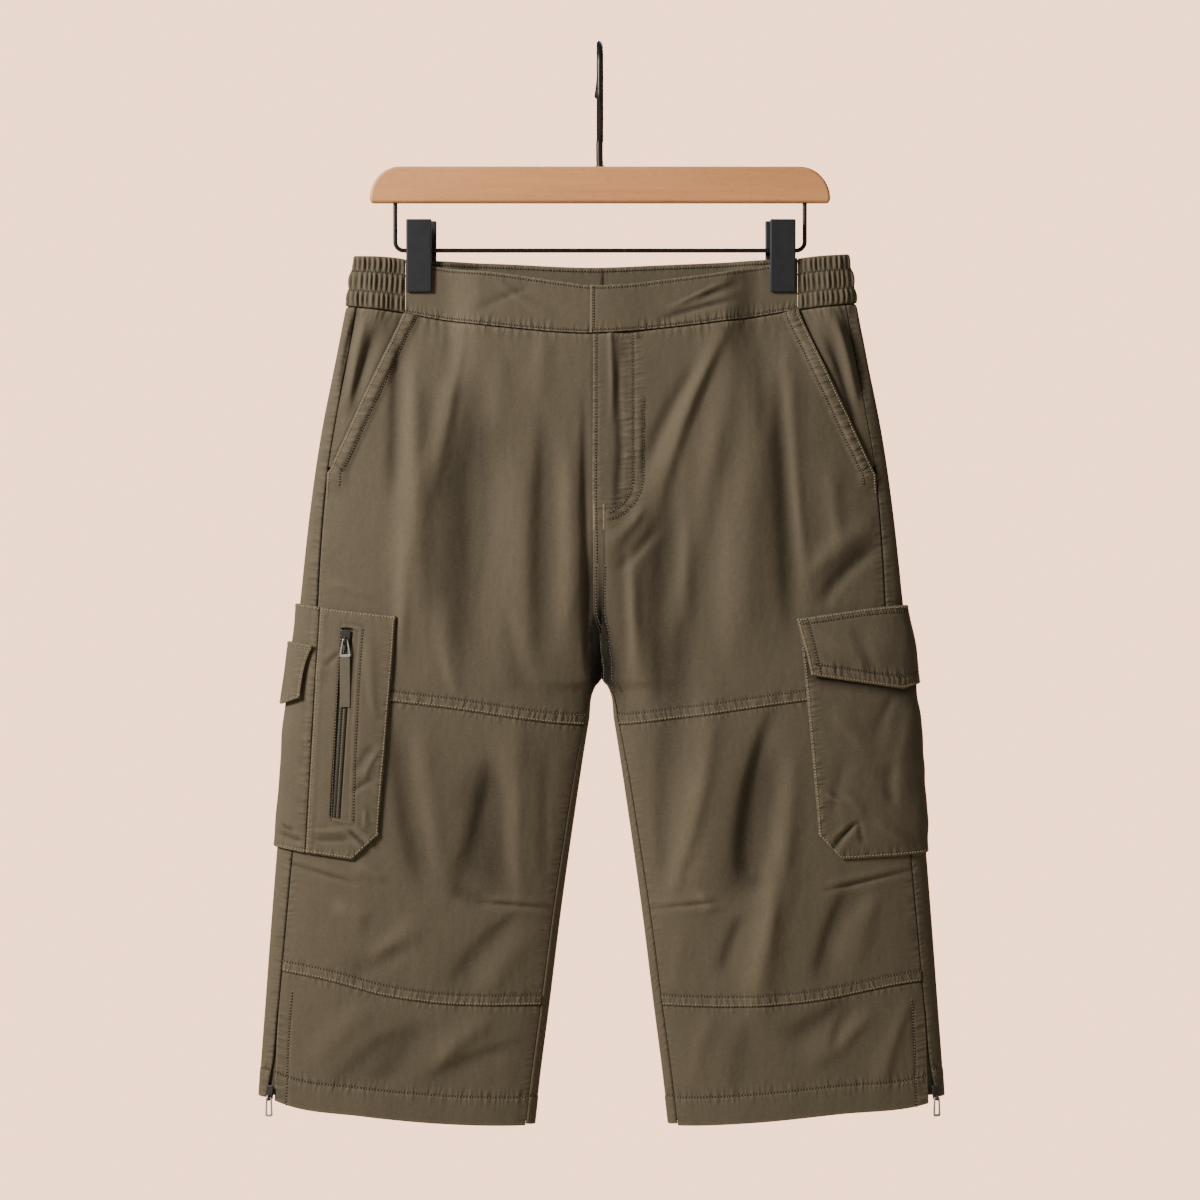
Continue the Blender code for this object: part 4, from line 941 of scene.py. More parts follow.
def back_leg(label, side):
    """The back in one length, wrapped onto the front at the side seam and at the inseam."""
    side_share, inner_share = np.linspace(0, 1, 15)[:-1], np.linspace(0, 1, 11)[1:]
    middle = np.linspace(1.0, 1.94, 92)
    columns = len(side_share) + len(middle) + len(inner_share)

    def side_edge(drop):
        edge = np.where(drop < ANKLE_TOP, along(drop, SIDE_SEAM), along(drop, ANKLE_BACK))
        return turn_at(side, CENTRE_X + side * (edge + 2 * GAP), drop)

    def inner_edge(drop):
        seat = 0.05
        at_centre = 2 - turn_at(side, CENTRE_X + side * seat, drop)
        below = ease(drop, 495, 536)
        return (1 - below) * at_centre + below * (2 + inseam(side, -2 * GAP)(drop))

    def turns(drop):
        first, last = side_edge(drop[:, :1]), inner_edge(drop[:, -1:])
        return np.hstack(
            [first + (middle[0] - first) * side_share]
            + [np.broadcast_to(middle, (len(drop), len(middle)))]
            + [middle[-1] + (last - middle[-1]) * inner_share]
        )

    def shape(at):
        height = hem_shape(at["above"]) - tucked(at["below"]) + 0.3 * turned(at["first"])
        seat = ease(at["drop"], CROTCH_DROP + 2, CROTCH_DROP - 8)
        return height + seat * (sewn(at["last"], 2) + (sewn(at["last"], 8) if side > 0 else 0))

    def masks(at):
        down = 0.9 * ease(at["first"], 13, 0) + 0.5 * ease(at["last"], 11, 0)
        across = 0.9 * bell(at["above"] - HEM_DEEP, 6) + 0.8 * ease(at["below"], 16, 0)
        # A lighter hem fold, partly rubbed lighter and partly painted highlight, and painted shade along the side
        # edge
        return {
            "pucker_down": down, "pucker_across": across,
            "wear": 0.7 * bell(at["above"] - 0.6, 1.2), "hollow": 0.7 * ease(at["first"], 2.5, 0),
        }

    rows = spaced(676, 3.1, ((648, 654, 1.2),))
    grid = settle(side, turns, rows, columns, line_at(WAIST_SEAM_BACK, -TUCK), line_at(HEM_BACK))
    nodes = [f"back_leg_{half}_{label}" for half in ("upper", "lower")]
    cut_piece(f"back_leg_{label}", side, grid, shape, masks, nodes=nodes)


def pocket_bearer(label, side):
    def inner(drop):
        return turn_at(side, CENTRE_X + side * (straight(drop, POCKET_MOUTH) - BEARER_UNDER), drop)

    grid = between(
        side, spaced(40, 1.6), spaced(132, 2.0), inner, front_edge(side, SIDE_SEAM, -GAP),
        line_at(WAIST_SEAM_FRONT, -TUCK), level_line(BEARER_END),
    )
    # Its masks: puckers, and painted shade along its inner edge under the pocket mouth
    cut_piece(
        f"pocket_bearer_{label}", side, grid, lambda at: -tucked(at["below"]),
        lambda at: {
            "pucker_down": 0.5 * ease(at["last"], 9, 0), "pucker_across": 0.9 * ease(at["below"], 18, 0),
            "hollow": ease(at["first"], 8, 4),
        },
    )


def shares(side, places):
    turns = turn_at(side, places, 205.0)
    return (turns - turns[0]) / (turns[-1] - turns[0])


def shirred(side):
    """The elastic sides: gathered ridges in three channels, out of step with each other, and pinched at
    the two rows between them."""

    def shape(at):
        _, down = part_way(at)
        total = np.zeros_like(at["x"])
        arc = at["first"]
        for channel, (start, end) in enumerate(zip((0.0, *SHIRR_ROWS), (*SHIRR_ROWS, 1.0))):
            inside = np.clip((down - start) / (end - start), 0, 1)
            puff = np.clip(np.sin(np.pi * inside), 0, 1) ** 0.55 * ((down >= start) & (down <= end))
            phase = 2 * np.pi * arc / SHIRR_PITCH + 1.9 * channel + 0.9 * uneven(arc * 0.23, channel + side)
            ridge = 0.5 + 0.5 * np.sin(phase + 0.5 * np.sin(inside * 4 + channel))
            tall = SHIRR_HIGH * (0.8 + 0.3 * uneven(arc * 0.31, channel + 4))
            total = total + puff * (tall * ridge**0.8 - 0.35) + 0.25 * puff
        ends = ease(at["first"], 0, 3) * ease(at["last"], 0, 3)
        return BAND_LIFT + total * ends - 0.3 * (bell(at["below"], 1) + bell(at["above"], 1))

    return shape


def waistband():
    """Two flat fronts lapped at the centre, two shirred sides and the back."""
    flat_end, side_end = 166.4, 166.9

    def at_x(side, x):
        return lambda drop: turn_at(side, x, drop)

    def behind_x(side, x):
        return lambda drop: 2 - turn_at(side, x, drop)

    top, bottom = line_at(WAIST_TOP_FRONT), line_at(WAIST_SEAM_FRONT, -GAP)
    rows = spaced(44, 1.6)

    def edges(at):
        return edged(at, below=(0.9, (BAND_TOP_ROW,)), above=(0.9, (BAND_FOOT_ROW, 0.45)))

    def masks(at):
        across = ease(at["above"], 13, 1) + 0.6 * ease(at["below"], 9, 0)
        # Lighter top and bottom edges, partly rubbed lighter and partly painted highlight
        wear = 0.7 * bell(at["below"] - 0.5, 1.2) + 1.0 * bell(at["above"] - 0.4, 1.0)
        return {"pucker_across": across, "wear": wear}

    for label, side in SIDES.items():
        laps_over = side > 0

        def shape(at, laps_over=laps_over):
            lap = ease(at["x"] - CENTRE_X, 48, 8) if laps_over else 0
            height = BAND_LIFT + BAND_LAP * lap + edges(at) + crease_height("band", at["x"], at["drop"])
            return height + edged(at, first=(1.0, (3.0,))) if laps_over else height

        def band_masks(at, laps_over=laps_over):
            found = masks(at)
            if laps_over:
                # The lapped end's edge lighter too, the same way
                found["wear"] = found["wear"] + 0.9 * bell(at["first"] - 0.5, 1.0)
            return found

        start = -8.3 if laps_over else 3.5
        places = CENTRE_X + side * (flat_end * spaced(168, 1.7))
        if laps_over:
            columns = np.concatenate([start + np.array([0, 0.5, 1, 1.7, 2.6, 3.6, 5, 7]), places[2:]])
        else:
            columns = np.concatenate([[start], places[places < start - 0.4]])
        grid = between(
            side, shares(side, columns), rows, at_x(side, start), at_x(side, columns[-1]), top, bottom
        )
        cut_piece(f"waistband_front_{label}", side, grid, shape, band_masks, wall=BAND_WALL)
        edge = CENTRE_X + side * side_end
        grid = between(
            side, np.linspace(0, 1, 190), spaced(44, 1.1), at_x(side, edge), behind_x(side, edge), top, bottom
        )
        # The shirred sides: a lighter top edge, partly rubbed lighter and partly painted highlight, and painted shade
        # along the foot
        cut_piece(
            f"waistband_side_{label}", side, grid, shirred(side),
            lambda at: {"wear": 0.5 * bell(at["below"], 1.5), "hollow": 0.5 * bell(at["above"], 1.6)},
            wall=BAND_WALL,
        )
    halves = []
    for label, side in SIDES.items():
        columns = CENTRE_X + side * flat_end * spaced(168, 2.2)
        grid = between(
            side, shares(side, columns), rows, fixed_turn(2.0), behind_x(side, columns[-1]),
            line_at(WAIST_TOP_BACK), line_at(WAIST_SEAM_BACK, -GAP),
        )
        halves.append(lay("half", side, *grid, lambda at: BAND_LIFT + edges(at), masks))
    joined = {}
    for key in ("points", "x", "drop", "below", "above"):
        joined[key] = np.concatenate([halves[0][key][:, ::-1], halves[1][key][:, 1:]], axis=1)
    joined["first"], joined["last"] = runs(joined["points"], 1)
    joined.update(side=-1, normals=grid_normals(-1, joined["points"]), masks=masks(joined))
    LAID["waistband_back"] = joined
    sheet_object("waistband_back", joined, wall=BAND_WALL)


def pocket_masks(at, near_scale=1.0):
    """Puckers along the sewn edges of a patch pocket, and lighter edges at its front edge, its top and its foot,
    partly rubbed lighter and partly painted highlight.
    """
    down = near_scale * ease(at["first"], 15, 1)
    across = 0.7 * ease(at["above"], 12, 1) + 0.5 * ease(at["below"], 9, 1)
    wear = 0.9 * bell(at["first"] - 0.6, 1.2) + 0.8 * bell(at["above"] - 0.6, 1.2)
    return {"pucker_down": down, "pucker_across": across, "wear": wear + 0.5 * bell(at["below"] - 0.6, 1.2)}


def zip_pocket():
    """The pocket on the photo's left: a front with the zip's window, a side strip with a small flap."""
    side, window = -1, ZIP_SLOT
    near, seam = front_edge(side, ZIP_POCKET_EDGE), front_edge(side, ZIP_POCKET_SEAM, -GAP)
    top, bottom = line_at(ZIP_POCKET_TOP), corner_line(ZIP_POCKET_BOTTOM)
    columns = pieced((0, 0.02, 0.05, window["near"], window["near"] + 0.03, window["far"], 0.97, 1), 66, 1.3)
    rows = pieced((0, 0.006, 0.016, window["top"], window["bottom"], 0.984, 0.994, 1), 205, 1.7)
    in_rows = (rows[:-1] >= window["top"] - 1e-6) & (rows[1:] <= window["bottom"] + 1e-6)
    in_columns = (columns[:-1] >= window["near"] - 1e-6) & (columns[1:] <= window["far"] + 1e-6)

    def shape(at):
        share_across, share_down = part_way(at)
        beside = np.maximum(window["near"] - share_across, share_across - window["far"]) * 62
        ends = np.maximum(window["top"] - share_down, share_down - window["bottom"]) * 205
        off = np.maximum(np.maximum(beside, ends), 0)
        height = ZIP_POCKET_LIFT + 0.5 * turned(off, 0.9) + 0.25 * bell(off - 1.5, 1.2) + sewn(off, 4.2, 0.4)
        height = height + edged(at, first=(1.2, (1.9,)), above=(1.2, (2.2,)), below=(1.0, (1.8,)))
        height = height - 0.8 * ease(at["last"], 2.2, 0) + 0.35 * bell(at["last"] - 4, 2)
        return height + 0.8 * fullness(at) + crease_height("zip pocket", at["x"], at["drop"])

    def masks(at):
        found = pocket_masks(at, 0.6)
        found["pucker_down"] = found["pucker_down"] + 0.7 * ease(at["last"], 9, 0)
        return found

    grid = between(side, columns, rows, near, seam, top, bottom)
    hole, nodes = in_rows[:, None] & in_columns, ["cargo_zip_pocket_front"]
    cut_piece("zip_pocket_front", side, grid, shape, masks, nodes=nodes, hole=hole)

    def strip_shape(at):
        height = ZIP_POCKET_LIFT + edged(at, above=(1.2, (2.2,)), below=(1.0,), last=(1.2,))
        height = height - 0.8 * ease(at["first"], 2.2, 0) + 0.3 * bell(at["first"] - 4, 2)
        height = height + 0.5 * uneven(at["drop"] * 0.06, 2) * ease(at["last"], 4, 20)
        return height + crease_height("zip pocket", at["x"], at["drop"]) * (at["turn"] < 1)

    grid = between(
        side, spaced(62, 1.9), spaced(206, 2.0), front_edge(side, ZIP_POCKET_SEAM, GAP),
        fixed_turn(POCKET_BACK_TURN), top, bottom,
    )
    nodes = ["cargo_zip_pocket_side"]
    cut_piece("zip_pocket_side", side, grid, strip_shape, lambda at: pocket_masks(at, 0.7), nodes=nodes)
    under = 0.06
    grid = between(
        side, np.linspace(window["near"] - under, window["far"] + under, 17), np.linspace(0.065, 0.865, 100),
        near, seam, top, bottom,
    )
    cut_piece(
        "cargo_zip_tape", side, grid, lambda at: ZIP_TAPE_LIFT - 0.25 * bell(at["first"] - 3, 0.8),
        finish="tape", wall=TAPE_WALL,
    )

    def flap_shape(at):
        height = SIDE_FLAP_LIFT + SIDE_FLAP_KICK * part_way(at)[1] + 0.4 * bell(at["below"] - 1.8, 1.2)
        return height + edged(at, first=(1.2, (2.0,)), above=(1.2, (2.0,)), below=(1.0, (3.6, 0.5)))

    grid = between(
        side, spaced(72, 1.5), spaced(50, 1.5), front_edge(side, SIDE_FLAP_EDGE),
        fixed_turn(SIDE_FLAP_BACK_TURN), line_at(SIDE_FLAP_TOP), corner_line(SIDE_FLAP_BOTTOM),
    )
    masks, nodes = lambda at: pocket_masks(at, 0.8), ["cargo_side_flap"]
    cut_piece("side_flap", side, grid, flap_shape, masks, nodes=nodes, wall=FLAP_WALL)


def flap_pocket():
    """The pocket on the photo's right and its flap."""
    side, back = 1, fixed_turn(POCKET_BACK_TURN)

    def body_shape(at):
        height = POCKET_LIFT + POCKET_PUFF * fullness(at)
        height = height + edged(at, first=(1.2, (2.0, 0.5)), above=(1.2, (2.0,)), last=(1.2,))
        edge = 0.6 * uneven(at["drop"] * 0.09, 5) * bell(at["turn"] - 1, 0.16)
        return height + edge + crease_height("flap pocket", at["x"], at["drop"]) * (at["turn"] < 1)

    grid = between(
        side, spaced(150, 2.0, ((6, 50, 1.0),)), spaced(206, 2.1, ((158, 200, 1.0),)),
        front_edge(side, FLAP_POCKET_EDGE), back,
        line_at(FLAP_POCKET_TOP), corner_line(FLAP_POCKET_BOTTOM),
    )

    def body_masks(at):
        found = pocket_masks(at, 1.2)
        # Painted shade over the whole pocket, and a painted shadow below the flap
        flap_foot = straight(at["x"], FLAP_BOTTOM)
        under_flap = ease(at["drop"], flap_foot + 11, flap_foot + 1) * ease(at["first"], -2, 3)
        found["hollow"] = 0.12 + 1.25 * under_flap
        return found

    cut_piece("flap_pocket", side, grid, body_shape, body_masks, nodes=["cargo_flap_pocket"])

    def flap_shape(at):
        height = FLAP_LIFT + FLAP_KICK * ease(part_way(at)[1], 0, 0.6) + edged(
            at, first=(1.3, (1.6,), (8.2, 0.5)), above=(1.3, (1.8,), (10.4, 0.5)),
            below=(1.2, (1.6,), (5.2, 0.4)),
        )
        return height + crease_height("flap", at["x"], at["drop"]) * (at["turn"] < 1)

    def flap_masks(at):
        down = ease(at["first"], 14, 2)
        across = 0.9 * bell(at["above"] - 8, 7) + 0.7 * ease(at["below"], 10, 0)
        # Lighter edges, partly rubbed lighter and partly painted highlight
        wear = sum(bell(at[edge] - 0.6, 1.2) for edge in ("first", "above", "below"))
        return {"pucker_down": down, "pucker_across": across, "wear": 0.9 * wear}

    grid = between(
        side, spaced(160, 1.9), spaced(60, 1.6), front_edge(side, FLAP_EDGE), back,
        line_at(FLAP_TOP), corner_line(FLAP_BOTTOM),
    )
    cut_piece("cargo_flap", side, grid, flap_shape, flap_masks, wall=FLAP_WALL)


def ankle_tape(label, side):
    grid = between(
        side, np.linspace(0, 1, 15), np.linspace(0, 1, 50),
        front_edge(side, ANKLE_FRONT, -ANKLE_TAPE["under front"]),
        front_edge(side, ANKLE_BACK, ANKLE_TAPE["under back"]),
        level_line(ANKLE_TAPE["top"]), level_line(ANKLE_TAPE["bottom"]),
    )
    name = f"ankle_zip_tape_{label}"
    cut_piece(name, side, grid, lambda at: ANKLE_TAPE_LIFT, finish="tape", wall=TAPE_WALL)


class Threads:
    """Gathers short rounded bars, such as stitches and zip teeth, and joins them into one mesh."""

    SIDES = 5
    RINGS = (-0.34, 0.0, 0.34)  # places of its rings along a bar, as shares of its length

    def __init__(self):
        self.parts, self.holes = [], []

    def add(self, centres, along_it, normals, length, gauge, arch=0.3, sunk=0.0):
        """arch is how far the middle rises above the ends, and sunk how far the bar lies in the cloth."""
        along_it = unit(along_it)
        beside = unit(np.cross(along_it, normals))
        up = np.cross(beside, along_it)
        turns = np.arange(self.SIDES) / self.SIDES * 2 * np.pi
        round_it = np.cos(turns)[:, None] * beside[:, None] + np.sin(turns)[:, None] * up[:, None]
        rows = [centres - along_it * length / 2 - up * sunk]
        for place in self.RINGS:
            middle = centres + along_it * length * place + up * (arch * (1 - (2 * place) ** 2) - sunk)
            rows.extend((middle[:, None] + gauge / 2 * round_it).transpose(1, 0, 2))
        rows.append(centres + along_it * length / 2 - up * sunk)
        self.parts.append(np.stack(rows, 1))

    def row(self, line, pitch=2.5, length=1.9, gauge=0.85, dark=True):
        """A row of stitches along a line of points with normals. A dark one is pulled in, with a dark painted
        shadow where the needle pierces the cloth between its stitches. One that is not stands on an edge that catches
        the light."""
        points, normals = line
        arc = arc_of(points)
        places = np.arange(pitch / 2, arc[-1], pitch)
        places = places + 0.12 * pitch * uneven(places * 1.7, 1.0)
        heading = at_arc(places + 0.6, arc, points) - at_arc(places - 0.6, arc, points)
        normal = at_arc(places, arc, normals)
        if dark:
            self.holes.append((at_arc(places + pitch / 2, arc, points), heading, normal))
        longer, thicker = (0.6, 0.7) if dark else (0.8, 1.3)
        self.add(at_arc(places, arc, points), heading, normal, longer * length, thicker * gauge)

    def needle_holes(self, name):
        """Painted shadows in the holes that the needle makes between the stitches, each a small dark diamond just
        above the cloth.
        """
        centres, heading, normals = (np.concatenate(part) for part in zip(*self.holes))
        heading = unit(heading)
        beside = unit(np.cross(heading, normals))
        reach = np.stack([0.95 * heading, -0.85 * beside, -0.95 * heading, 0.85 * beside], 1)
        faces = np.arange(len(centres) * 4).reshape(-1, 4).tolist()
        placed(name, mesh_of(name, (centres + 0.3 * normals)[:, None] + reach, faces), "needle_hole")

    def object(self, name, finish):
        places = np.concatenate(self.parts)
        count, size = places.shape[:2]
        ring, last = np.arange(self.SIDES), 1 + (len(self.RINGS) - 1) * self.SIDES
        after = np.roll(ring, -1)
        start = np.stack([0 * ring, 1 + after, 1 + ring], 1)
        end = np.stack([0 * ring + size - 1, last + ring, last + after], 1)
        shift = (np.arange(count) * size)[:, None, None]
        faces = (1 + tube_faces(len(self.RINGS), self.SIDES) + shift).reshape(-1, 4).tolist()
        faces += (np.concatenate([start, end]) + shift).reshape(-1, 3).tolist()
        placed(name, mesh_of(name, places, faces), finish)


def crossing(far, points, normals, level):
    """The points and normals of a grid where far, which grows down it, reaches this level."""
    i = np.clip((far < level).sum(axis=0), 1, len(far) - 1)
    pick = np.arange(far.shape[1])
    t = ((level - far[i - 1, pick]) / np.maximum(far[i, pick] - far[i - 1, pick], 1e-9))[:, None]
    return [part[i - 1, pick] * (1 - t) + part[i, pick] * t for part in (points, normals)]


def edge_row(name, edge, inset, start=0.0, end=1.0, inner=0.0):
    """The line on a piece at this distance from one of its edges, over a share of its length. inner moves it
    through the cloth to its other face."""
    fields = [LAID[name][key] for key in (edge, "points", "normals")]
    if edge in ("first", "last"):
        fields = [np.swapaxes(field, 0, 1) for field in fields]
    if edge in ("above", "last"):
        fields = [field[::-1] for field in fields]
    line, normal = crossing(*fields, inset)
    share = np.linspace(0, 1, len(line))
    keep = (share >= start) & (share <= end)
    if inner:
        return line[keep] - normal[keep] * inner, -normal[keep]
    return line[keep], normal[keep]


def share_row(name, share, start=0.0, end=1.0, down=False):
    """A line along a piece at a share of the way down it, or across it where down is set."""
    sheet = LAID[name]
    near, far = ("first", "last") if down else ("below", "above")
    fields = [sheet[near] / (sheet[near] + sheet[far]), sheet["points"], sheet["normals"]]
    if down:
        fields = [np.swapaxes(field, 0, 1) for field in fields]
    line, normal = crossing(*fields, share)
    keep = slice(int(start * len(line)), int(end * len(line)))
    return line[keep], normal[keep]


def path_row(name, path, step=0.6):
    """A line drawn on a piece's front through these places (x, drop)."""
    places = np.array(path, float)
    arc = arc_of(places)
    where = np.arange(0, arc[-1], step)
    x, drop = np.interp(where, arc, places[:, 0]), np.interp(where, arc, places[:, 1])
    points, normals = (LAID[name][key].reshape(-1, 3) for key in ("points", "normals"))
    front = normals[:, 1] < -0.05
    points, normals = points[front], normals[front]
    nearest = ((points[:, 0] - x[:, None]) ** 2 + (points[:, 2] + drop[:, None]) ** 2).argmin(1)
    at, normal = points[nearest], normals[nearest]
    y = at[:, 1] - (normal[:, 0] * (x - at[:, 0]) + normal[:, 2] * (-drop - at[:, 2])) / normal[:, 1]
    return np.stack([x, y, -drop], 1), normal


def topstitching():
    """Every row of stitches, as two joined meshes: the upper half and the legs, each with a mesh of painted shadows
    in the needle's holes.
    """
    upper, legs = Threads(), Threads()
    for label, side in SIDES.items():
        band, front = f"waistband_front_{label}", f"front_upper_{label}"
        upper.row(edge_row(band, "below", BAND_TOP_ROW), 2.3, 1.7)
        upper.row(edge_row(band, "above", BAND_FOOT_ROW), 2.3, 1.7)
        upper.row(edge_row(front, "last", MOUTH_EDGE_ROW, 0, 0.425), 2.4, dark=False)
        upper.row(edge_row(front, "last", MOUTH_BAND, 0, 0.405), 2.4)
        tack = path_row(front, ((CENTRE_X + side * 227, 353), (CENTRE_X + side * 219, 361)))
        upper.row(tack, 0.8, 2.6, 0.6)
        for inset in (1.6, FELL_WIDE):
            upper.row(edge_row(front, "above", inset), dark=inset > 2)
            legs.row(edge_row(f"front_knee_{label}", "above", inset), dark=inset > 2)
        for share in SHIRR_ROWS:
            upper.row(share_row(f"waistband_side_{label}", share), 2.1, 1.5)
        legs.row(edge_row(f"front_lower_{label}", "above", HEM_DEEP))
        legs.row(edge_row(f"back_leg_{label}", "above", HEM_DEEP))
        legs.row(edge_row(f"front_lower_{label}", "last", ANKLE_ROW, 0.16, 1))
    upper.row(edge_row("waistband_back", "below", 3.2, inner=BAND_WALL), 2.4)
    upper.row(edge_row("waistband_back", "below", BAND_TOP_ROW), 2.4)
    upper.row(edge_row("waistband_back", "above", BAND_FOOT_ROW), 2.4)
    upper.row(edge_row("waistband_front_right", "first", 3.0), 2.3, 1.7)
    lapped = "front_upper_right"
    upper.row(edge_row(lapped, "first", FLY_ROW, 0, 0.5))
    for path in (FLY_J_INNER, FLY_J_OUTER):
        upper.row(path_row(lapped, path))
    for inset in RISE_ROWS:
        upper.row(edge_row(lapped, "first", inset, 0.5, 0.8))
    for x in BAR_TACKS["at"]:
        at, normal = path_row(lapped, ((x, BAR_TACKS["top"]), (x, BAR_TACKS["bottom"])), 1.0)
        upper.add(at, np.tile([1.0, 0, 0.1], (len(at), 1)), normal, 2.6, 0.8)
    for inset, end in ((2.0, 0.42), (8.0, 0.40)):
        upper.row(edge_row("back_leg_right", "last", inset, 0.02, end), 2.6)
    for piece, edge, inset in (
        ("zip_pocket_front", "first", 1.9), ("zip_pocket_front", "above", 2.2),
        ("zip_pocket_front", "below", 1.8), ("zip_pocket_side", "above", 2.2),
        ("zip_pocket_side", "below", 1.8),
    ):
        legs.row(edge_row(piece, edge, inset), 2.6, dark=False)
    legs.row(edge_row("zip_pocket_front", "last", 1.6), 2.6, 1.8, dark=False)
    for share in (ZIP_SLOT["far"] + ZIP_ROW, ZIP_SLOT["near"] - ZIP_ROW):
        legs.row(share_row("zip_pocket_front", share, ZIP_SLOT["top"], 0.86, down=True))
    for edge, inset in (("first", 2.0), ("above", 2.0), ("below", 3.6)):
        legs.row(edge_row("side_flap", edge, inset), 2.4, 1.8, dark=False)
    for edge, insets in (("first", (1.6, 8.2)), ("above", (1.8, 10.4)), ("below", (1.6, 5.2))):
        for inset in insets:
            legs.row(edge_row("cargo_flap", edge, inset), 2.4, 1.8, dark=inset > 2)
    for edge in ("first", "above"):
        legs.row(edge_row("flap_pocket", edge, 2.0), dark=False)
    for part, rows in (("upper", upper), ("legs", legs)):
        rows.object(f"topstitching_{part}", "thread")
        # The painted shadows in the needle's holes
        rows.needle_holes(f"needle_holes_{part}")


def spread(line, pitch, short=0.0, most=1e3):
    """Places along a line at this pitch, the normals there and the way down. The last place is this much
    short of its end, and no further on than most."""
    arc = arc_of(line[0])
    places = np.arange(2, min(arc[-1] - short, most), pitch)
    at = at_arc(places, arc, line[0])
    return at, at_arc(places, arc, line[1]), np.gradient(at, axis=0)


def zip_teeth():
    """The cargo zip's nylon coil, from its slider to the window's foot, and the ankle zips' teeth."""
    coil = Threads()
    at, out, down = spread(share_row("cargo_zip_tape", 0.5, 0.08, 0.975, down=True), COIL_PITCH)
    across = unit(np.cross(out, down))
    for way in (-1, 1):
        coil.add(at + across * way * 1.75, across + 0.12 * way * down, out, 3.9, 1.15, 0.55, -0.35)
    coil.object("nylon_coil_cargo", "nylon")
    for label in SIDES:
        teeth = Threads()
        for name, edge, start in (
            (f"front_lower_{label}", "last", (ANKLE_TOP - 795) / 110),
            (f"back_leg_{label}", "first", (ANKLE_TOP - 222) / 672),
        ):
            at, out, down = spread(edge_row(name, edge, 0.3, start), 1.8, 4, 68)
            teeth.add(at - out * 1.2, np.cross(out, down), out, 1.8, 1.0, 0.2)
        teeth.object(f"ankle_zip_teeth_{label}", "dark_metal")


def tube_faces(rings, sides):
    """The quads between rings of as many points each."""
    first, a = np.arange(rings - 1)[:, None] * sides, np.arange(sides)
    b = np.roll(a, -1)
    return np.stack([first + a, first + b, first + sides + b, first + sides + a], -1).reshape(-1, 4)


def prism(outline, low, high, axis=1, hole=None, flip=False):
    """Vertices and faces of a plate: an outline in the other two directions, from low to high along this
    axis, with a hole of as many points. Along Y the outline is in x and z, and runs anticlockwise from -Y."""
    count = len(outline)
    loops = [np.insert(outline, axis, end, axis=1) for end in (low, high)]
    ring = np.arange(count)
    after = np.roll(ring, -1)
    faces = list(zip(ring + count, after + count, after, ring))
    if hole is None:
        faces += [tuple(ring), tuple(ring[::-1] + count)]
    else:
        loops += [np.insert(hole, axis, end, axis=1) for end in (low, high)]
        faces += zip(ring, after, after + 2 * count, ring + 2 * count)
        faces += zip(ring + count, ring + 3 * count, after + 3 * count, after + count)
        faces += zip(ring + 2 * count, after + 2 * count, after + 3 * count, ring + 3 * count)
    return np.vstack(loops), [face[::-1] for face in faces] if flip else faces


def rounded(wide, tall, radius, centre=(0, 0), arc=6, top_wide=None):
    """A rectangle with round corners in x and z, anticlockwise seen from -Y. top_wide tapers it."""
    points = []
    for quarter, (sx, sz) in enumerate(((1, 1), (-1, 1), (-1, -1), (1, -1))):
        turns = (quarter + np.linspace(0, 1, arc + 1)) * np.pi / 2
        half = (top_wide if top_wide and sz > 0 else wide) / 2
        middle = (centre[0] + sx * (half - radius), centre[1] + sz * (tall / 2 - radius))
        points += [(middle[0] + radius * np.cos(t), middle[1] + radius * np.sin(t)) for t in turns]
    return np.array(points)


def hard_piece(name, shapes, finish, nodes=(), edge=None, place=None, body="root"):
    """One mesh from lists of vertices and faces, placed by a matrix. edge is the width of its softened
    edges and their segments."""
    faces, shift = [], 0
    for points, polygons in shapes:
        faces += [tuple(int(i) + shift for i in polygon) for polygon in polygons]
        shift += len(points)
    mesh = mesh_of(name, np.concatenate([np.asarray(points, float) for points, _ in shapes]), faces)
    if place is not None:
        mesh.transform(place)
    made = placed(name, mesh, finish, body, nodes)
    if edge:
        bevel = made.modifiers.new("edges", "BEVEL")
        bevel.width, bevel.segments = edge[0] * MM, edge[1]
        bevel.limit_method, bevel.angle_limit = "ANGLE", np.radians(35)
        bevel.harden_normals = False


def sweep(route, gauge, reference, sides=20, round_tip=False):
    """Vertices and faces of a round rod along points. round_tip rounds its last end."""
    route, reference = np.asarray(route, float), np.asarray(reference, float)
    radii = np.full(len(route), gauge / 2)
    if round_tip:
        turns = np.array([0.35, 0.7, 1.05, 1.35])
        tip = gauge / 2 * np.sin(turns)[:, None] * unit(route[-1] - route[-2])
        route = np.vstack([route, route[-1] + tip])
        radii = np.append(radii, gauge / 2 * np.cos(turns))
    heading = unit(np.gradient(route, axis=0))
    first = unit(reference - (heading @ reference)[:, None] * heading)
    second = np.cross(heading, first)
    turns = np.arange(sides) / sides * 2 * np.pi
    ring = np.cos(turns)[:, None] * first[:, None] + np.sin(turns)[:, None] * second[:, None]
    points = (route[:, None] + ring * radii[:, None, None]).reshape(-1, 3)
    last = (len(route) - 1) * sides
    caps = [tuple(range(sides))[::-1], tuple(range(last, last + sides))]
    return points, [tuple(quad) for quad in tube_faces(len(route), sides)] + caps


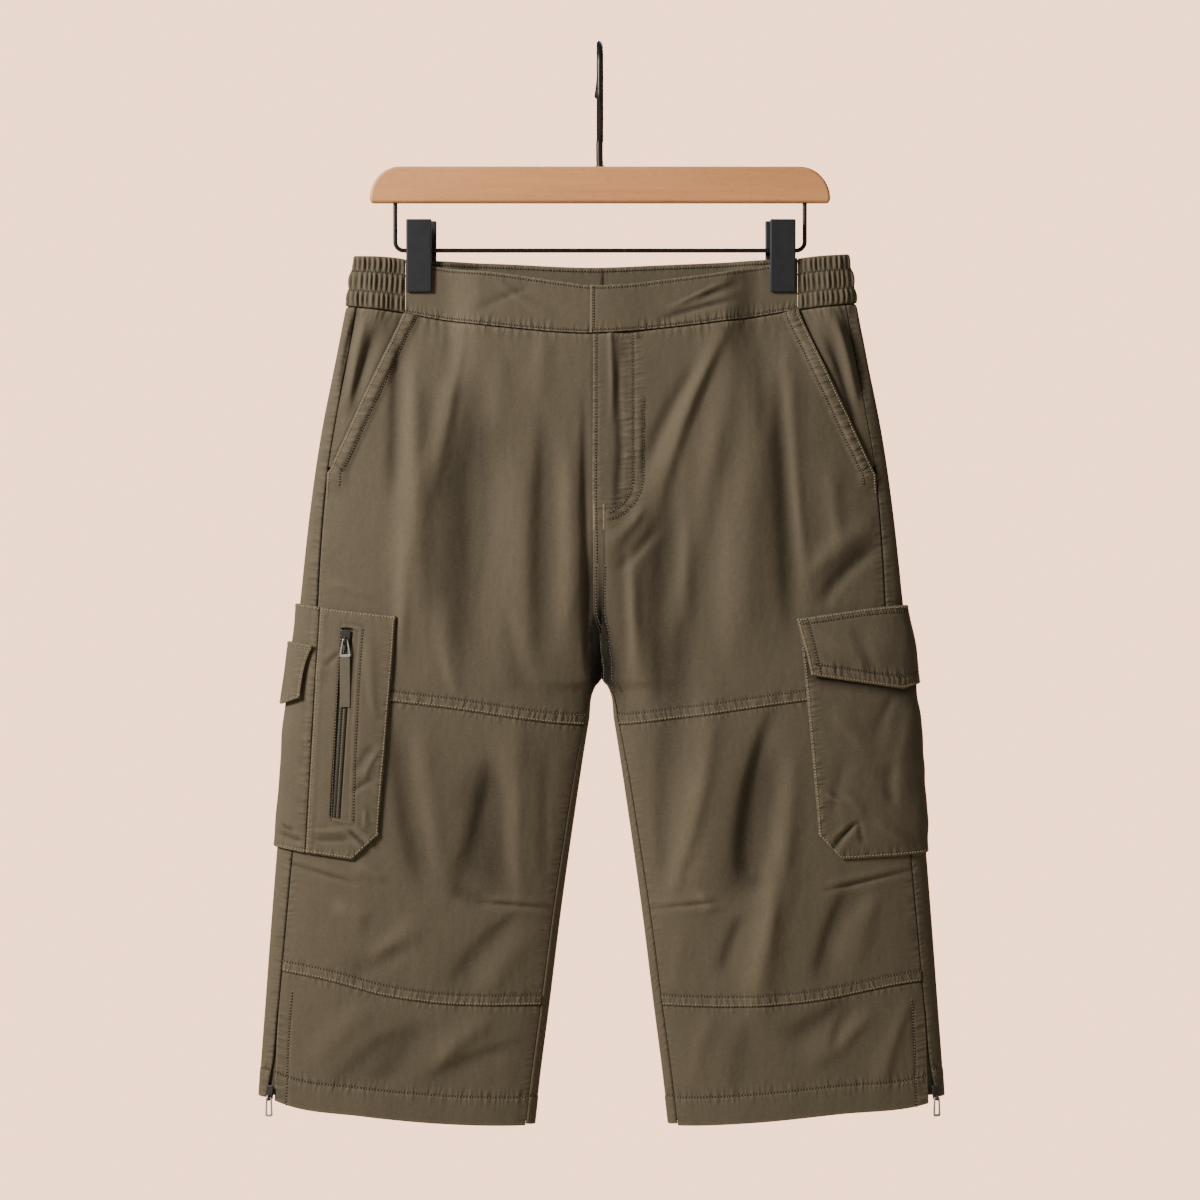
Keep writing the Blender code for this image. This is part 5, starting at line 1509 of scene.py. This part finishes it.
def hanger():
    """The hook over the rail, the wooden bar and the wire below it."""
    radius = HOOK_INSIDE + HOOK_GAUGE / 2
    arc = [
        (0, radius * np.cos(t), radius * np.sin(t) - HOOK_INSIDE) for t in np.linspace(np.pi, -0.12, 44)
    ]
    tip = [(-0.2, radius + 0.8, -24.0), (-0.9, radius + 1.8, -31.0), (-2.0, radius + 3.0, -37.4)]
    top, bottom = HOOK_BEND
    bend = [
        (-0.5 * ease(t, 0.9, 1), -radius * (1 - ease(t, 0, 1)), -top - (bottom - top) * t)
        for t in np.linspace(0, 1, 26)
    ]
    foot = [(0, 0, 0.3 - BAR_TOP), (-0.4, 0, -HOOK_JOINT)]
    shape = sweep(foot + bend[::-1] + arc + tip, HOOK_GAUGE, (1, 0, 0), 24, True)
    collar = sweep([(0, 0, -BAR_TOP - 0.4), (0, 0, 1.2 - BAR_TOP)], HOOK_GAUGE + 1.4, (1, 0, 0), 24)
    hard_piece("round_hook", [shape, collar], "black", ["hanger_hook"])
    rise = BAR_BOTTOM - BAR_TOP - BAR_FOOT
    turns = np.linspace(0, np.pi / 2, 15)
    upper = [(BAR_HALF - BAR_SHOULDER * (1 - np.cos(t)), rise * (np.sin(t) - 1) - BAR_TOP) for t in turns]
    lower = [
        (BAR_HALF - BAR_FOOT * (1 - np.sin(t)), BAR_FOOT * (1 - np.cos(t)) - BAR_BOTTOM) for t in turns[::3]
    ]
    half = lower[:-1] + upper
    bar = prism(np.array(half + [(-x, z) for x, z in half[::-1]]), -BAR_DEEP / 2, BAR_DEEP / 2)
    hard_piece("beech_bar", [bar], "beech", ["hanger_bar"], (2.4, 5))
    reach, floor = WIRE_HALF - WIRE_BEND, WIRE_BEND - WIRE_DROP
    half = [(WIRE_HALF, 0, 0.3 - BAR_BOTTOM), (WIRE_HALF, 0, -150)] + [
        (reach + WIRE_BEND * np.cos(t), 0, floor - WIRE_BEND * np.sin(t)) for t in np.linspace(0, np.pi / 2, 14)
    ]
    wire = sweep(half + [(-x, y, z) for x, y, z in half[::-1]], ROD_GAUGE, (0, 1, 0))
    hard_piece("bent_wire", [wire], "black", ["hanger_wire"])


def clips():
    """Each clip: two sprung plates, their ears round the wire, and a coiled spring."""
    jaw, knee, top = CLIP_INNER, CLIP_INNER + 0.6, CLIP_INNER + CLIP_LEAN
    profile = np.array(
        [
            (jaw, -CLIP_BOTTOM), (jaw, -CLIP_KNEE), (top, -CLIP_TOP), (top + CLIP_PLATE, -CLIP_TOP),
            (knee + CLIP_PLATE, -CLIP_KNEE), (jaw + CLIP_PLATE, -CLIP_BOTTOM),
        ]
    )
    for label, x in CLIP_CENTRES.items():
        shift = CLIP_SHIFT * np.sign(x)
        for end, face, at, wide in (("front", -1, x, CLIP_WIDE), ("back", 1, x - shift, CLIP_WIDE - 2)):
            plate = prism(profile * (face, 1), at - wide / 2, at + wide / 2, axis=0, flip=face < 0)
            hard_piece(f"clip_plate_{end}_{label}", [plate], "charcoal", [f"clip_{end}_{label}"], (1.2, 4))
        ear = rounded(jaw * 2 + 2.6, 8.4, 3.2, (0, -WIRE_DROP))
        places = [x - shift / 2 + way * (CLIP_WIDE / 2 - 3.1) for way in (-1, 1)]
        ears = [prism(ear, at - 0.7, at + 0.7, axis=0, flip=True) for at in places]
        hard_piece(f"clip_ears_{label}", ears, "charcoal", edge=(0.4, 2))
        turn = np.linspace(0, 2 * np.pi * SPRING_TURNS, SPRING_TURNS * 18)
        along_wire = x + np.linspace(-1, 1, len(turn)) * (SPRING_HALF - 3.2)
        mean = (SPRING_OUTER + SPRING_INNER) / 2
        coil = np.stack([along_wire, mean * np.cos(turn), mean * np.sin(turn) - WIRE_DROP], 1)
        leg = [(along_wire[-1] + 0.4, mean + out, up - WIRE_DROP) for out, up in ((1.6, 7), (2.4, 11))]
        spring = sweep(np.vstack([coil, leg]), SPRING_OUTER - SPRING_INNER, (1, 0, 0), 8)
        hard_piece(f"torsion_spring_{label}", [spring], "black", [f"clip_spring_{label}"])


def slider_place(key):
    """The frame of a zip's slider and pull: on the pull's axis, -Y off the cloth and -Z down."""
    x, middle, _, _, face_off, below_middle, _, _ = SLIDERS[key]
    side = 1 if x > CENTRE_X else -1
    turn = float(turn_at(side, x, middle))
    normal = outward(side, turn, middle, creased=False)
    axis_at = surface(side, turn, middle, creased=False) + normal * (face_off + PIVOT_OFF)
    place = Matrix.Translation(Vector((axis_at[0], axis_at[1], -middle - below_middle)) * MM)
    return place @ Matrix.Rotation(np.arctan2(normal[0], -normal[1]), 4, "Z")


def zips():
    """Each zip's slider with its bridge, its pull, and the strip on the cargo zip's pull."""
    for key, (_, _, wide, long, _, below, tab_wide, tab_long) in SLIDERS.items():
        place, (zip_node, body) = slider_place(key), ZIP_NAMES[key]
        upper, lower = (
            rounded(wide * 0.72, tall, wide * 0.2, (0, below), top_wide=wide) for tall in (long, long * 0.96)
        )
        post = rounded(wide * 0.3, long * 0.4, 0.6, (0, below + long * 0.22))
        foot, crown = PIVOT_OFF + BRIDGE["sunk"], -BRIDGE["eye"] - BRIDGE["crown"]
        inside, outside = BRIDGE["eye"], BRIDGE["eye"] + BRIDGE["post"]
        arch = np.array(
            [
                (foot, -outside), (crown, -outside), (crown, outside), (foot, outside),
                (foot, inside), (-inside, inside), (-inside, -inside), (foot, -inside),
            ]
        )
        shapes = [
            prism(upper, PIVOT_OFF, PIVOT_OFF + 1.0), prism(lower, PIVOT_OFF + 1.7, PIVOT_OFF + SLIDER_THICK),
            prism(post, PIVOT_OFF + 0.5, PIVOT_OFF + SLIDER_THICK - 0.4),
            prism(arch, -BRIDGE["half wide"], BRIDGE["half wide"], axis=0, flip=True),
        ]
        hard_piece(f"zip_slider_{key}", shapes, "dark_metal", [f"{zip_node}_slider"], (0.28, 2), place)
        above_axis = TAB_BAR / 2
        top = tab_wide * (0.55 if key == "cargo" else 0.8)
        outline = rounded(tab_wide, tab_long, 1.5, (0, above_axis - tab_long / 2), top_wide=top)
        eye = tab_long - TAB_BAR - TAB_FOOT
        window = rounded(
            tab_wide - 2 * TAB_SIDE, eye, 0.7, (0, above_axis - TAB_BAR - eye / 2),
            top_wide=top - 1.6 * TAB_SIDE,
        )
        tab = prism(outline, -TAB_THICK / 2, TAB_THICK / 2, hole=window)
        hard_piece(f"zip_tab_{key}", [tab], "zip_metal", [f"{zip_node}_pull"], (0.35, 3), place, body)
    middle = TAB_BAR / 2 - SLIDERS["cargo"][-1] - PULLER_BELOW - PULLER_LONG / 2
    strip = rounded(PULLER_WIDE, PULLER_LONG, 0.9, (0, middle))
    head = rounded(PULLER_WIDE - 3.6, 5.0, 0.6, (0, middle + PULLER_LONG / 2 + 0.6))
    shapes = [prism(strip, -PULLER_THICK / 2, PULLER_THICK / 2), prism(head, -0.55, 0.55)]
    hard_piece(
        "puller_strip", shapes, "puller", ["cargo_zip_puller"], (0.5, 3), slider_place("cargo"), "cargo_pull"
    )


class Graph:
    """A thin helper to lay out shader nodes: add() makes a node, wires its inputs and returns an output."""

    def __init__(self, tree):
        self.tree = tree

    def add(self, kind, out=0, set=None, **inputs):
        node = self.tree.nodes.new(kind)
        for key, value in (set or {}).items():
            setattr(node, key, value)
        for key, value in inputs.items():
            socket = node.inputs[int(key[1:])] if key[0] == "_" else node.inputs[key.replace("_", " ")]
            if isinstance(value, bpy.types.NodeSocket):
                self.tree.links.new(value, socket)
            else:
                socket.default_value = value
        return node.outputs[out]

    def maths(self, operation, first, second=0.0, third=0.0):
        return self.add("ShaderNodeMath", set={"operation": operation}, _0=first, _1=second, _2=third)

    def scaled(self, vector, scale):
        return self.add("ShaderNodeVectorMath", set={"operation": "MULTIPLY"}, _0=vector, _1=scale)

    def noise(self, vector, scale, detail=2.0, roughness=0.5, distortion=0.0):
        return self.add(
            "ShaderNodeTexNoise", Vector=vector, Scale=scale, Detail=detail, Roughness=roughness,
            Distortion=distortion,
        )

    def ribs(self, vector, direction, scale, distortion, **more):
        return self.add(
            "ShaderNodeTexWave", out=1, set={"bands_direction": direction}, Vector=vector, Scale=scale,
            Distortion=distortion, **more,
        )

    def signed(self, value, size):
        """A 0 to 1 value turned into -size to size."""
        return self.maths("MULTIPLY", self.maths("SUBTRACT", value, 0.5), 2 * size)

    def mask(self, name):
        return self.add("ShaderNodeAttribute", out=2, set={"attribute_name": name})

    def mix(self, first, second, factor=1.0, blend="MIX"):
        kind = {"data_type": "RGBA", "blend_type": blend}
        return self.add("ShaderNodeMix", out=2, set=kind, _0=factor, _6=first, _7=second)

    def tinted(self, colour, factor):
        """A colour times a factor."""
        grey = self.add("ShaderNodeCombineColor", Red=factor, Green=factor, Blue=factor)
        return self.mix(colour, grey, blend="MULTIPLY")

    def bumped(self, height, distance=0.001):
        return self.add("ShaderNodeBump", Height=height, Distance=distance, Strength=1.0)

    def feed(self, node, **inputs):
        """Wires these outputs to the inputs of a node."""
        for key, value in inputs.items():
            self.tree.links.new(value, node.inputs[key.replace("_", " ")])


def woven_group():
    """Heights of a woven cloth in millimetres from its weave coordinates: twill lines, small unevenness,
    and the puckers that seams pull, where the two pucker masks are set."""
    tree = bpy.data.node_groups.new("Woven height", "ShaderNodeTree")
    for way, kind, names in (
        ("INPUT", "NodeSocketVector", ("Weave", "Place")),
        ("INPUT", "NodeSocketFloat", ("Pucker down", "Pucker across", "Pitch")),
        ("OUTPUT", "NodeSocketFloat", ("Height", "Ripple")),
    ):
        for name in names:
            tree.interface.new_socket(name, in_out=way, socket_type=kind)
    g = Graph(tree)
    source, sink = tree.nodes.new("NodeGroupInput"), tree.nodes.new("NodeGroupOutput")
    weave, place, down, across, pitch = source.outputs[:5]
    in_mm = g.scaled(weave, (1000, 1000, 0))
    lines = g.ribs(in_mm, "DIAGONAL", g.maths("DIVIDE", 0.444, pitch), 0.6, Detail=1.0)
    soft = g.signed(g.noise(g.scaled(place, (1, 1, 0.6)), 42.0, 2.0, 0.5), 0.55)
    small = g.signed(g.noise(g.scaled(place, (1, 1, 0.7)), 120.0, 2.0, 0.55), 0.16)
    wander = g.scaled(g.add("ShaderNodeTexNoise", out=1, Vector=in_mm, Scale=0.09, Detail=1.0), (5, 5, 0))
    bent = g.add("ShaderNodeVectorMath", set={"operation": "ADD"}, _0=in_mm, _1=wander)
    ripple_down = g.signed(g.noise(g.scaled(bent, (0.05, 0.30, 0)), 1.0, 0.0), 1.0)
    ripple_across = g.signed(g.noise(g.scaled(bent, (0.30, 0.05, 0)), 1.0, 0.0), 1.0)
    ripple = g.maths("ADD", g.maths("MULTIPLY", ripple_down, down), g.maths("MULTIPLY", ripple_across, across))
    height = g.maths("ADD", g.maths("MULTIPLY", lines, 0.035), g.maths("ADD", soft, small))
    g.feed(sink, Height=g.maths("ADD", height, g.maths("MULTIPLY", ripple, 0.95)), Ripple=ripple)
    return tree


def new_material(name, **values):
    """A material with these values on its shader, with its graph, its shader and its coordinates."""
    made = bpy.data.materials.new(name)
    made.use_nodes = True
    shader = made.node_tree.nodes["Principled BSDF"]
    for key, value in values.items():
        shader.inputs[key.replace("_", " ")].default_value = value
    g = Graph(made.node_tree)
    return made, g, shader, g.add("ShaderNodeTexCoord", out=3)


def twill(settings):
    """Garment-dyed cotton twill: uneven dye, lighter edges and fold ridges (partly rubbed lighter, partly painted
    highlight), painted shade in troughs and recesses, and pucker troughs darker than their crests, partly roping of
    the dyed cloth and partly painted shade.
    """
    made, g, shader, place = new_material(
        "olive twill", Roughness=0.86, Sheen_Weight=0.12, Sheen_Roughness=0.45,
        Sheen_Tint=(0.9, 0.82, 0.66, 1), Specular_IOR_Level=0.25,
    )
    cloth = g.tree.nodes.new("ShaderNodeGroup")
    cloth.node_tree = woven_group()
    g.feed(
        cloth, Weave=g.add("ShaderNodeUVMap", set={"uv_map": "weave"}), Place=place,
        Pucker_down=g.mask("pucker_down"), Pucker_across=g.mask("pucker_across"),
    )
    cloth.inputs["Pitch"].default_value = settings.weave_pitch / MM
    cloudy = g.signed(g.noise(g.scaled(place, (1, 1, 0.5)), 14.0, 3.0, 0.6), 0.09)
    streaks = g.signed(g.noise(g.scaled(place, (1, 1, 0.12)), 260.0, 3.0, 0.6), 0.10)
    speckle = g.signed(g.noise(g.scaled(place, (0.6, 1, 1.3)), 700.0, 2.0, 0.7), 0.22)
    # Lighter where the mask is set: rubbed edges, and painted highlight on ridges
    wear = g.maths("MULTIPLY", g.mask("wear"), g.maths("MULTIPLY_ADD", g.noise(place, 180.0, 2.0), 0.5, 0.10))
    # Painted shade: the colour darkened where the mask is set
    hollow = g.maths("MULTIPLY", g.mask("hollow"), -0.42)
    # Pucker crests lighter and troughs darker: partly roping of the dyed cloth, partly painted shade
    crest = g.maths("MULTIPLY", cloth.outputs["Ripple"], 0.30)
    factor = 1.0
    for part in (cloudy, streaks, speckle, wear, hollow, crest):
        factor = g.maths("ADD", factor, part)
    factor = g.maths("MAXIMUM", factor, 0.03)
    colour = g.tinted((*settings.colour, 1.0), factor)
    g.feed(shader, Base_Color=colour, Normal=g.bumped(cloth.outputs["Height"]))
    return made


def plain(name, colour, tone, skin, rough, worn=(), **values):
    """A material of one colour. tone is the scale and detail of a noise, with the gain and base of the
    factor that it gives, and skin a noise with its bump's depth. rough is one roughness, or its ends on
    the worn noise."""
    made, g, shader, place = new_material(name, Roughness=rough[0], **values)
    scale, detail, gain, base = tone
    factor = g.maths("MULTIPLY_ADD", g.noise(place, scale, detail), gain, base)
    if worn:
        uneven_shine = g.maths("MULTIPLY_ADD", g.noise(place, *worn), rough[1] - rough[0], rough[0])
        g.feed(shader, Roughness=uneven_shine)
    normal = g.bumped(g.noise(place, *skin[:-1]), skin[-1])
    g.feed(shader, Base_Color=g.tinted((*colour, 1.0), factor), Normal=normal)
    return made


def metal(name, colour, rough, metallic):
    """Plated die-cast metal, its roughness uneven from handling."""
    skin = (900.0, 2.0, 0.5, 0.00004)
    return plain(name, colour, (90.0, 2.0, 0.3, 0.82), skin, rough, (220.0, 3.0, 0.6), Metallic=metallic)


def painted(name, colour, rough, grain, coat=0.0):
    """Satin paint or moulded plastic with a fine skin."""
    tone, skin = (150.0, 3.0, 0.5, 0.75), (grain, 2.0, 0.6, 0.00006)
    return plain(name, colour, tone, skin, rough, (60.0, 3.0, 0.6), Coat_Weight=coat, Coat_Roughness=0.25)


def woven_tape():
    made, g, shader, place = new_material("woven zip tape", Roughness=0.8)
    ribs = g.ribs(g.add("ShaderNodeUVMap", set={"uv_map": "weave"}), "Y", 450.0, 0.5)
    factor = g.maths("ADD", g.maths("MULTIPLY_ADD", ribs, 0.2, 0.8), g.signed(g.noise(place, 300.0), 0.12))
    colour = g.tinted((0.140, 0.115, 0.075, 1.0), factor)
    g.feed(shader, Base_Color=colour, Normal=g.bumped(ribs, 0.0002))
    return made


def puller_cloth():
    """A bonded strip with a fine cross rib, its face bare."""
    made, g, shader, place = new_material("puller strip", Roughness=0.6)
    ribs = g.ribs(place, "Z", 330.0, 0.4)
    uneven_dye = g.signed(g.noise(place, 240.0, 3.0), 0.14)
    colour = g.tinted(
        (0.150, 0.124, 0.080, 1.0), g.maths("ADD", g.maths("MULTIPLY_ADD", ribs, 0.12, 0.9), uneven_dye)
    )
    normal = g.bumped(g.maths("ADD", ribs, g.noise(place, 700.0)), 0.00015)
    g.feed(shader, Base_Color=colour, Normal=normal)
    return made


def beech():
    """Lacquered beech: long soft grain along the bar, and the short dark flecks of its rays."""
    made, g, shader, place = new_material("beech", Roughness=0.42, Coat_Weight=0.12, Coat_Roughness=0.3)
    grain = g.noise(g.scaled(place, (2.2, 40, 46)), 1.6, 4.0, 0.55, 0.8)
    fine = g.noise(g.scaled(place, (9, 300, 420)), 1.5, 3.0, 0.6)
    flecks = g.add(
        "ShaderNodeMapRange", set={"interpolation_type": "SMOOTHSTEP"},
        Value=g.noise(g.scaled(place, (190, 700, 1100)), 1.0, 1.0), From_Min=0.62, From_Max=0.74,
    )
    factor = g.maths("ADD", g.maths("MULTIPLY_ADD", grain, 0.30, 0.80), g.signed(fine, 0.07))
    factor = g.maths("SUBTRACT", factor, g.maths("MULTIPLY", flecks, 0.14))
    g.feed(
        shader, Base_Color=g.tinted(g.mix((1.0, 0.40, 0.15, 1), (1.0, 0.50, 0.21, 1), grain), factor),
        Roughness=g.maths("MULTIPLY_ADD", fine, 0.16, 0.34),
        Normal=g.bumped(g.maths("ADD", fine, g.maths("MULTIPLY", flecks, -0.6)), 0.00008),
    )
    return made


def make_finishes(settings):
    """Every material, made once."""
    if FINISH:
        return
    light_thread = [channel * 2.5 for channel in settings.colour]
    FINISH.update(
        twill=twill(settings), tape=woven_tape(), puller=puller_cloth(), beech=beech(),
        thread=plain(
            "sewing thread", light_thread, (320.0, 2.0, 0.5, 0.80), (2600.0, 1.0, 0.5, 0.0001), (0.6,)
        ),
        nylon=plain(
            "nylon coil", (0.118, 0.099, 0.066), (500.0, 2.0, 0.4, 0.8), (1500.0, 1.0, 0.5, 0.00005), (0.38,)
        ),
        zip_metal=metal("plated metal", (0.66, 0.64, 0.60), (0.22, 0.42), 0.5),
        dark_metal=metal("dark plated metal", (0.10, 0.095, 0.09), (0.28, 0.45), 0.6),
        # Painted shadow in the needle's holes: a near-black sheet
        needle_hole=painted("painted hole shadow", (0.024, 0.019, 0.012), (0.85, 0.95), 300.0),
        black=painted("black painted wire", (0.012, 0.012, 0.014), (0.30, 0.46), 700.0, 0.2),
        charcoal=painted("charcoal plastic", (0.030, 0.031, 0.036), (0.42, 0.58), 1500.0),
    )


def add_floor(scene, radius, height, sides=96, rings=8):
    """A round floor: a point at its centre and rings of points round it."""
    turns = np.arange(sides) / sides * 2 * np.pi
    reach = np.arange(1, rings + 1)[:, None] / rings * radius
    points = np.stack([reach * np.cos(turns), reach * np.sin(turns), 0 * reach + 0 * turns], -1)
    points = np.vstack([[[0, 0, 0]], points.reshape(-1, 3)]) + (0, 0, height)
    ring = np.arange(sides)
    faces = np.stack([0 * ring, 1 + ring, 1 + np.roll(ring, -1)], 1).tolist()
    faces += (1 + tube_faces(rings, sides)[:, [0, 3, 2, 1]]).tolist()
    mesh = bpy.data.meshes.new("floor")
    mesh.from_pydata(points.tolist(), [], faces)
    skin = (300.0, 2.0, 0.5, 0.0001)
    mesh.materials.append(plain("pale floor", (0.62, 0.55, 0.46), (3.0, 3.0, 0.06, 0.96), skin, (0.8,)))
    floor = bpy.data.objects.new("floor", mesh)
    scene.collection.objects.link(floor)


def stage(scene):
    """A pale floor well below the hem, a soft key light from the upper left, a weak fill and a camera."""
    settings = scene.shorts_stage
    add_floor(scene, settings.floor_radius, settings.floor_height)

    scene.world = bpy.data.worlds.new("soft room")
    scene.world.use_nodes = True
    g = Graph(scene.world.node_tree)
    ambient = [channel * settings.ambient for channel in (1.0, 0.93, 0.84)]
    colour = g.mix((*ambient, 1.0), (*settings.backdrop, 1.0), g.add("ShaderNodeLightPath"))
    g.feed(g.tree.nodes["Background"], Color=colour)

    middle = Vector((0, 0, settings.eye_height))
    for name, place, size, power, tint in (
        ("key light", Vector((-1.75, -1.15, 0.62)), 0.7, settings.key_power, (1.0, 0.97, 0.92)),
        ("fill light", Vector((2.4, -2.0, 0.2)), 2.0, settings.fill_power, (1.0, 0.95, 0.88)),
        ("rear light", Vector((0.8, 2.8, 1.2)), 2.2, settings.rear_power, (1.0, 0.96, 0.9)),
    ):
        data = bpy.data.lights.new(name, "AREA")
        data.shape, data.size, data.energy, data.color = "DISK", size, power, tint
        light = bpy.data.objects.new(name, data)
        light.location = place
        light.rotation_euler = (middle - place).to_track_quat("-Z", "Y").to_euler()
        scene.collection.objects.link(light)

    data = bpy.data.cameras.new("camera")
    data.sensor_width, data.lens = 36.0, 36.0 * settings.eye_distance / settings.frame_width
    camera = bpy.data.objects.new("camera", data)
    camera.location = (0, -settings.eye_distance, settings.eye_height)
    camera.rotation_euler = (np.pi / 2, 0, 0)
    scene.collection.objects.link(camera)
    scene.camera = camera


class ShortsCloth(bpy.types.PropertyGroup):
    """Settings of the cloth."""

    crease: FloatProperty(
        name="Crease", description="How tall the creases are, as a share of those in the table",
        default=1.8, min=0.0, max=3.0,
    )
    weave_pitch: FloatProperty(
        name="Weave pitch", description="Distance between twill lines", default=0.0009, unit="LENGTH"
    )
    colour: FloatVectorProperty(
        name="Cloth colour", description="Colour of the twill", default=(0.150, 0.122, 0.080),
        subtype="COLOR", min=0, max=1,
    )


class ShortsStage(bpy.types.PropertyGroup):
    """Settings of the light, the floor and the camera."""

    key_power: FloatProperty(name="Key light", description="Power of the key light", default=70.0, unit="POWER")
    fill_power: FloatProperty(name="Fill light", description="Power of the fill light", default=5.0, unit="POWER")
    rear_power: FloatProperty(name="Rear light", description="Power of the light behind", default=120.0, unit="POWER")
    ambient: FloatProperty(name="Ambient", description="Light from all round", default=0.085, min=0.0)
    backdrop: FloatVectorProperty(
        name="Backdrop", description="Colour seen behind the object", default=(3.4, 1.98, 1.28),
        subtype="COLOR", min=0, max=4,
    )
    floor_height: FloatProperty(
        name="Floor height", description="Height of the floor", default=-1.6, unit="LENGTH"
    )
    floor_radius: FloatProperty(
        name="Floor radius", description="Radius of the floor", default=2.4, unit="LENGTH"
    )
    eye_distance: FloatProperty(
        name="Camera distance", description="From the object's middle plane", default=2.8, unit="LENGTH"
    )
    eye_height: FloatProperty(
        name="Camera height", description="Height of the level line of sight", default=-0.4696, unit="LENGTH"
    )
    frame_width: FloatProperty(
        name="Frame width", description="Width of the frame at the middle plane", default=1.02, unit="LENGTH"
    )


class PieceOperator(bpy.types.Operator):
    """What the operators share: build() makes the pieces, and each name it promises must then be there."""

    promised = ()

    def execute(self, context):
        make_finishes(context.scene.shorts_cloth)
        self.build(context.scene)
        missing = [name for name in self.promised if name not in bpy.data.objects]
        if missing:
            raise RuntimeError(f"{self.bl_label} left out {', '.join(missing)}")
        return {"FINISHED"}


class SHORTS_OT_fronts(PieceOperator):
    """Make the fronts of both legs: upper, knee and lower, and the pocket bearers"""

    bl_idname = "shorts.fronts"
    bl_label = "Make the fronts"
    promised = tuple(f"cloth_front_{part}_{label}" for part in ("upper", "knee", "lower") for label in SIDES)

    def build(self, scene):
        for label, side in SIDES.items():
            for make in (front_upper, front_knee, front_lower, pocket_bearer):
                make(label, side)


class SHORTS_OT_backs(PieceOperator):
    """Make the backs of both legs"""

    bl_idname = "shorts.backs"
    bl_label = "Make the backs"
    promised = ("cloth_back_leg_left", "cloth_back_leg_right")

    def build(self, scene):
        for label, side in SIDES.items():
            back_leg(label, side)


class SHORTS_OT_waistband(PieceOperator):
    """Make the waistband: fronts, shirred sides and back"""

    bl_idname = "shorts.waistband"
    bl_label = "Make the waistband"
    promised = ("cloth_waistband_back", "cloth_waistband_side_left", "cloth_waistband_side_right")

    def build(self, scene):
        waistband()


class SHORTS_OT_pockets(PieceOperator):
    """Make both cargo pockets with their flaps and the zip's tape"""

    bl_idname = "shorts.pockets"
    bl_label = "Make the cargo pockets"
    promised = ("cloth_zip_pocket_front", "cloth_flap_pocket", "cloth_cargo_flap", "cloth_side_flap")

    def build(self, scene):
        zip_pocket()
        flap_pocket()


class SHORTS_OT_zips(PieceOperator):
    """Make the zips: ankle tapes, teeth, sliders and pulls"""

    bl_idname = "shorts.zips"
    bl_label = "Make the zips"
    promised = ("nylon_coil_cargo", "zip_slider_cargo", "puller_strip")

    def build(self, scene):
        for label, side in SIDES.items():
            ankle_tape(label, side)
        zip_teeth()
        zips()


class SHORTS_OT_stitching(PieceOperator):
    """Make every row of stitches, the bar tacks and the painted shadows in the needle's holes"""

    bl_idname = "shorts.stitching"
    bl_label = "Make the stitching"
    promised = ("topstitching_upper", "topstitching_legs", "needle_holes_upper", "needle_holes_legs")

    def build(self, scene):
        topstitching()


class SHORTS_OT_hanger(PieceOperator):
    """Make the hanger: hook, bar, wire and clips"""

    bl_idname = "shorts.hanger"
    bl_label = "Make the hanger"
    promised = ("round_hook", "beech_bar", "bent_wire", "clip_plate_front_left", "clip_plate_front_right")

    def build(self, scene):
        hanger()
        clips()


class SHORTS_OT_stage(PieceOperator):
    """Make the floor, the lights and the camera"""

    bl_idname = "shorts.stage"
    bl_label = "Make the stage"
    promised = ("floor", "camera", "key light")

    def build(self, scene):
        stage(scene)


OPERATORS = (
    SHORTS_OT_fronts, SHORTS_OT_backs, SHORTS_OT_waistband, SHORTS_OT_pockets, SHORTS_OT_zips,
    SHORTS_OT_stitching, SHORTS_OT_hanger, SHORTS_OT_stage,
)


class SHORTS_PT_panel(bpy.types.Panel):
    """The settings and one button for each operator"""

    bl_idname = "SHORTS_PT_panel"
    bl_label = "Cargo shorts"
    bl_space_type = "VIEW_3D"
    bl_region_type = "UI"
    bl_category = "Shorts"

    def draw(self, context):
        for settings in (context.scene.shorts_cloth, context.scene.shorts_stage):
            column = self.layout.column(align=True)
            for name in settings.__annotations__:
                column.prop(settings, name)
        for operator in OPERATORS:
            self.layout.operator(operator.bl_idname)


def register():
    for cls in (ShortsCloth, ShortsStage, *OPERATORS, SHORTS_PT_panel):
        bpy.utils.register_class(cls)
    bpy.types.Scene.shorts_cloth = PointerProperty(type=ShortsCloth)
    bpy.types.Scene.shorts_stage = PointerProperty(type=ShortsStage)


def unregister():
    del bpy.types.Scene.shorts_stage, bpy.types.Scene.shorts_cloth
    for cls in reversed((ShortsCloth, ShortsStage, *OPERATORS, SHORTS_PT_panel)):
        bpy.utils.unregister_class(cls)


def main():
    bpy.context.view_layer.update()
    register()
    for operator in OPERATORS:
        name = operator.bl_idname.split(".")[1]
        getattr(bpy.ops.shorts, name)()


if __name__ == "__main__":
    main()
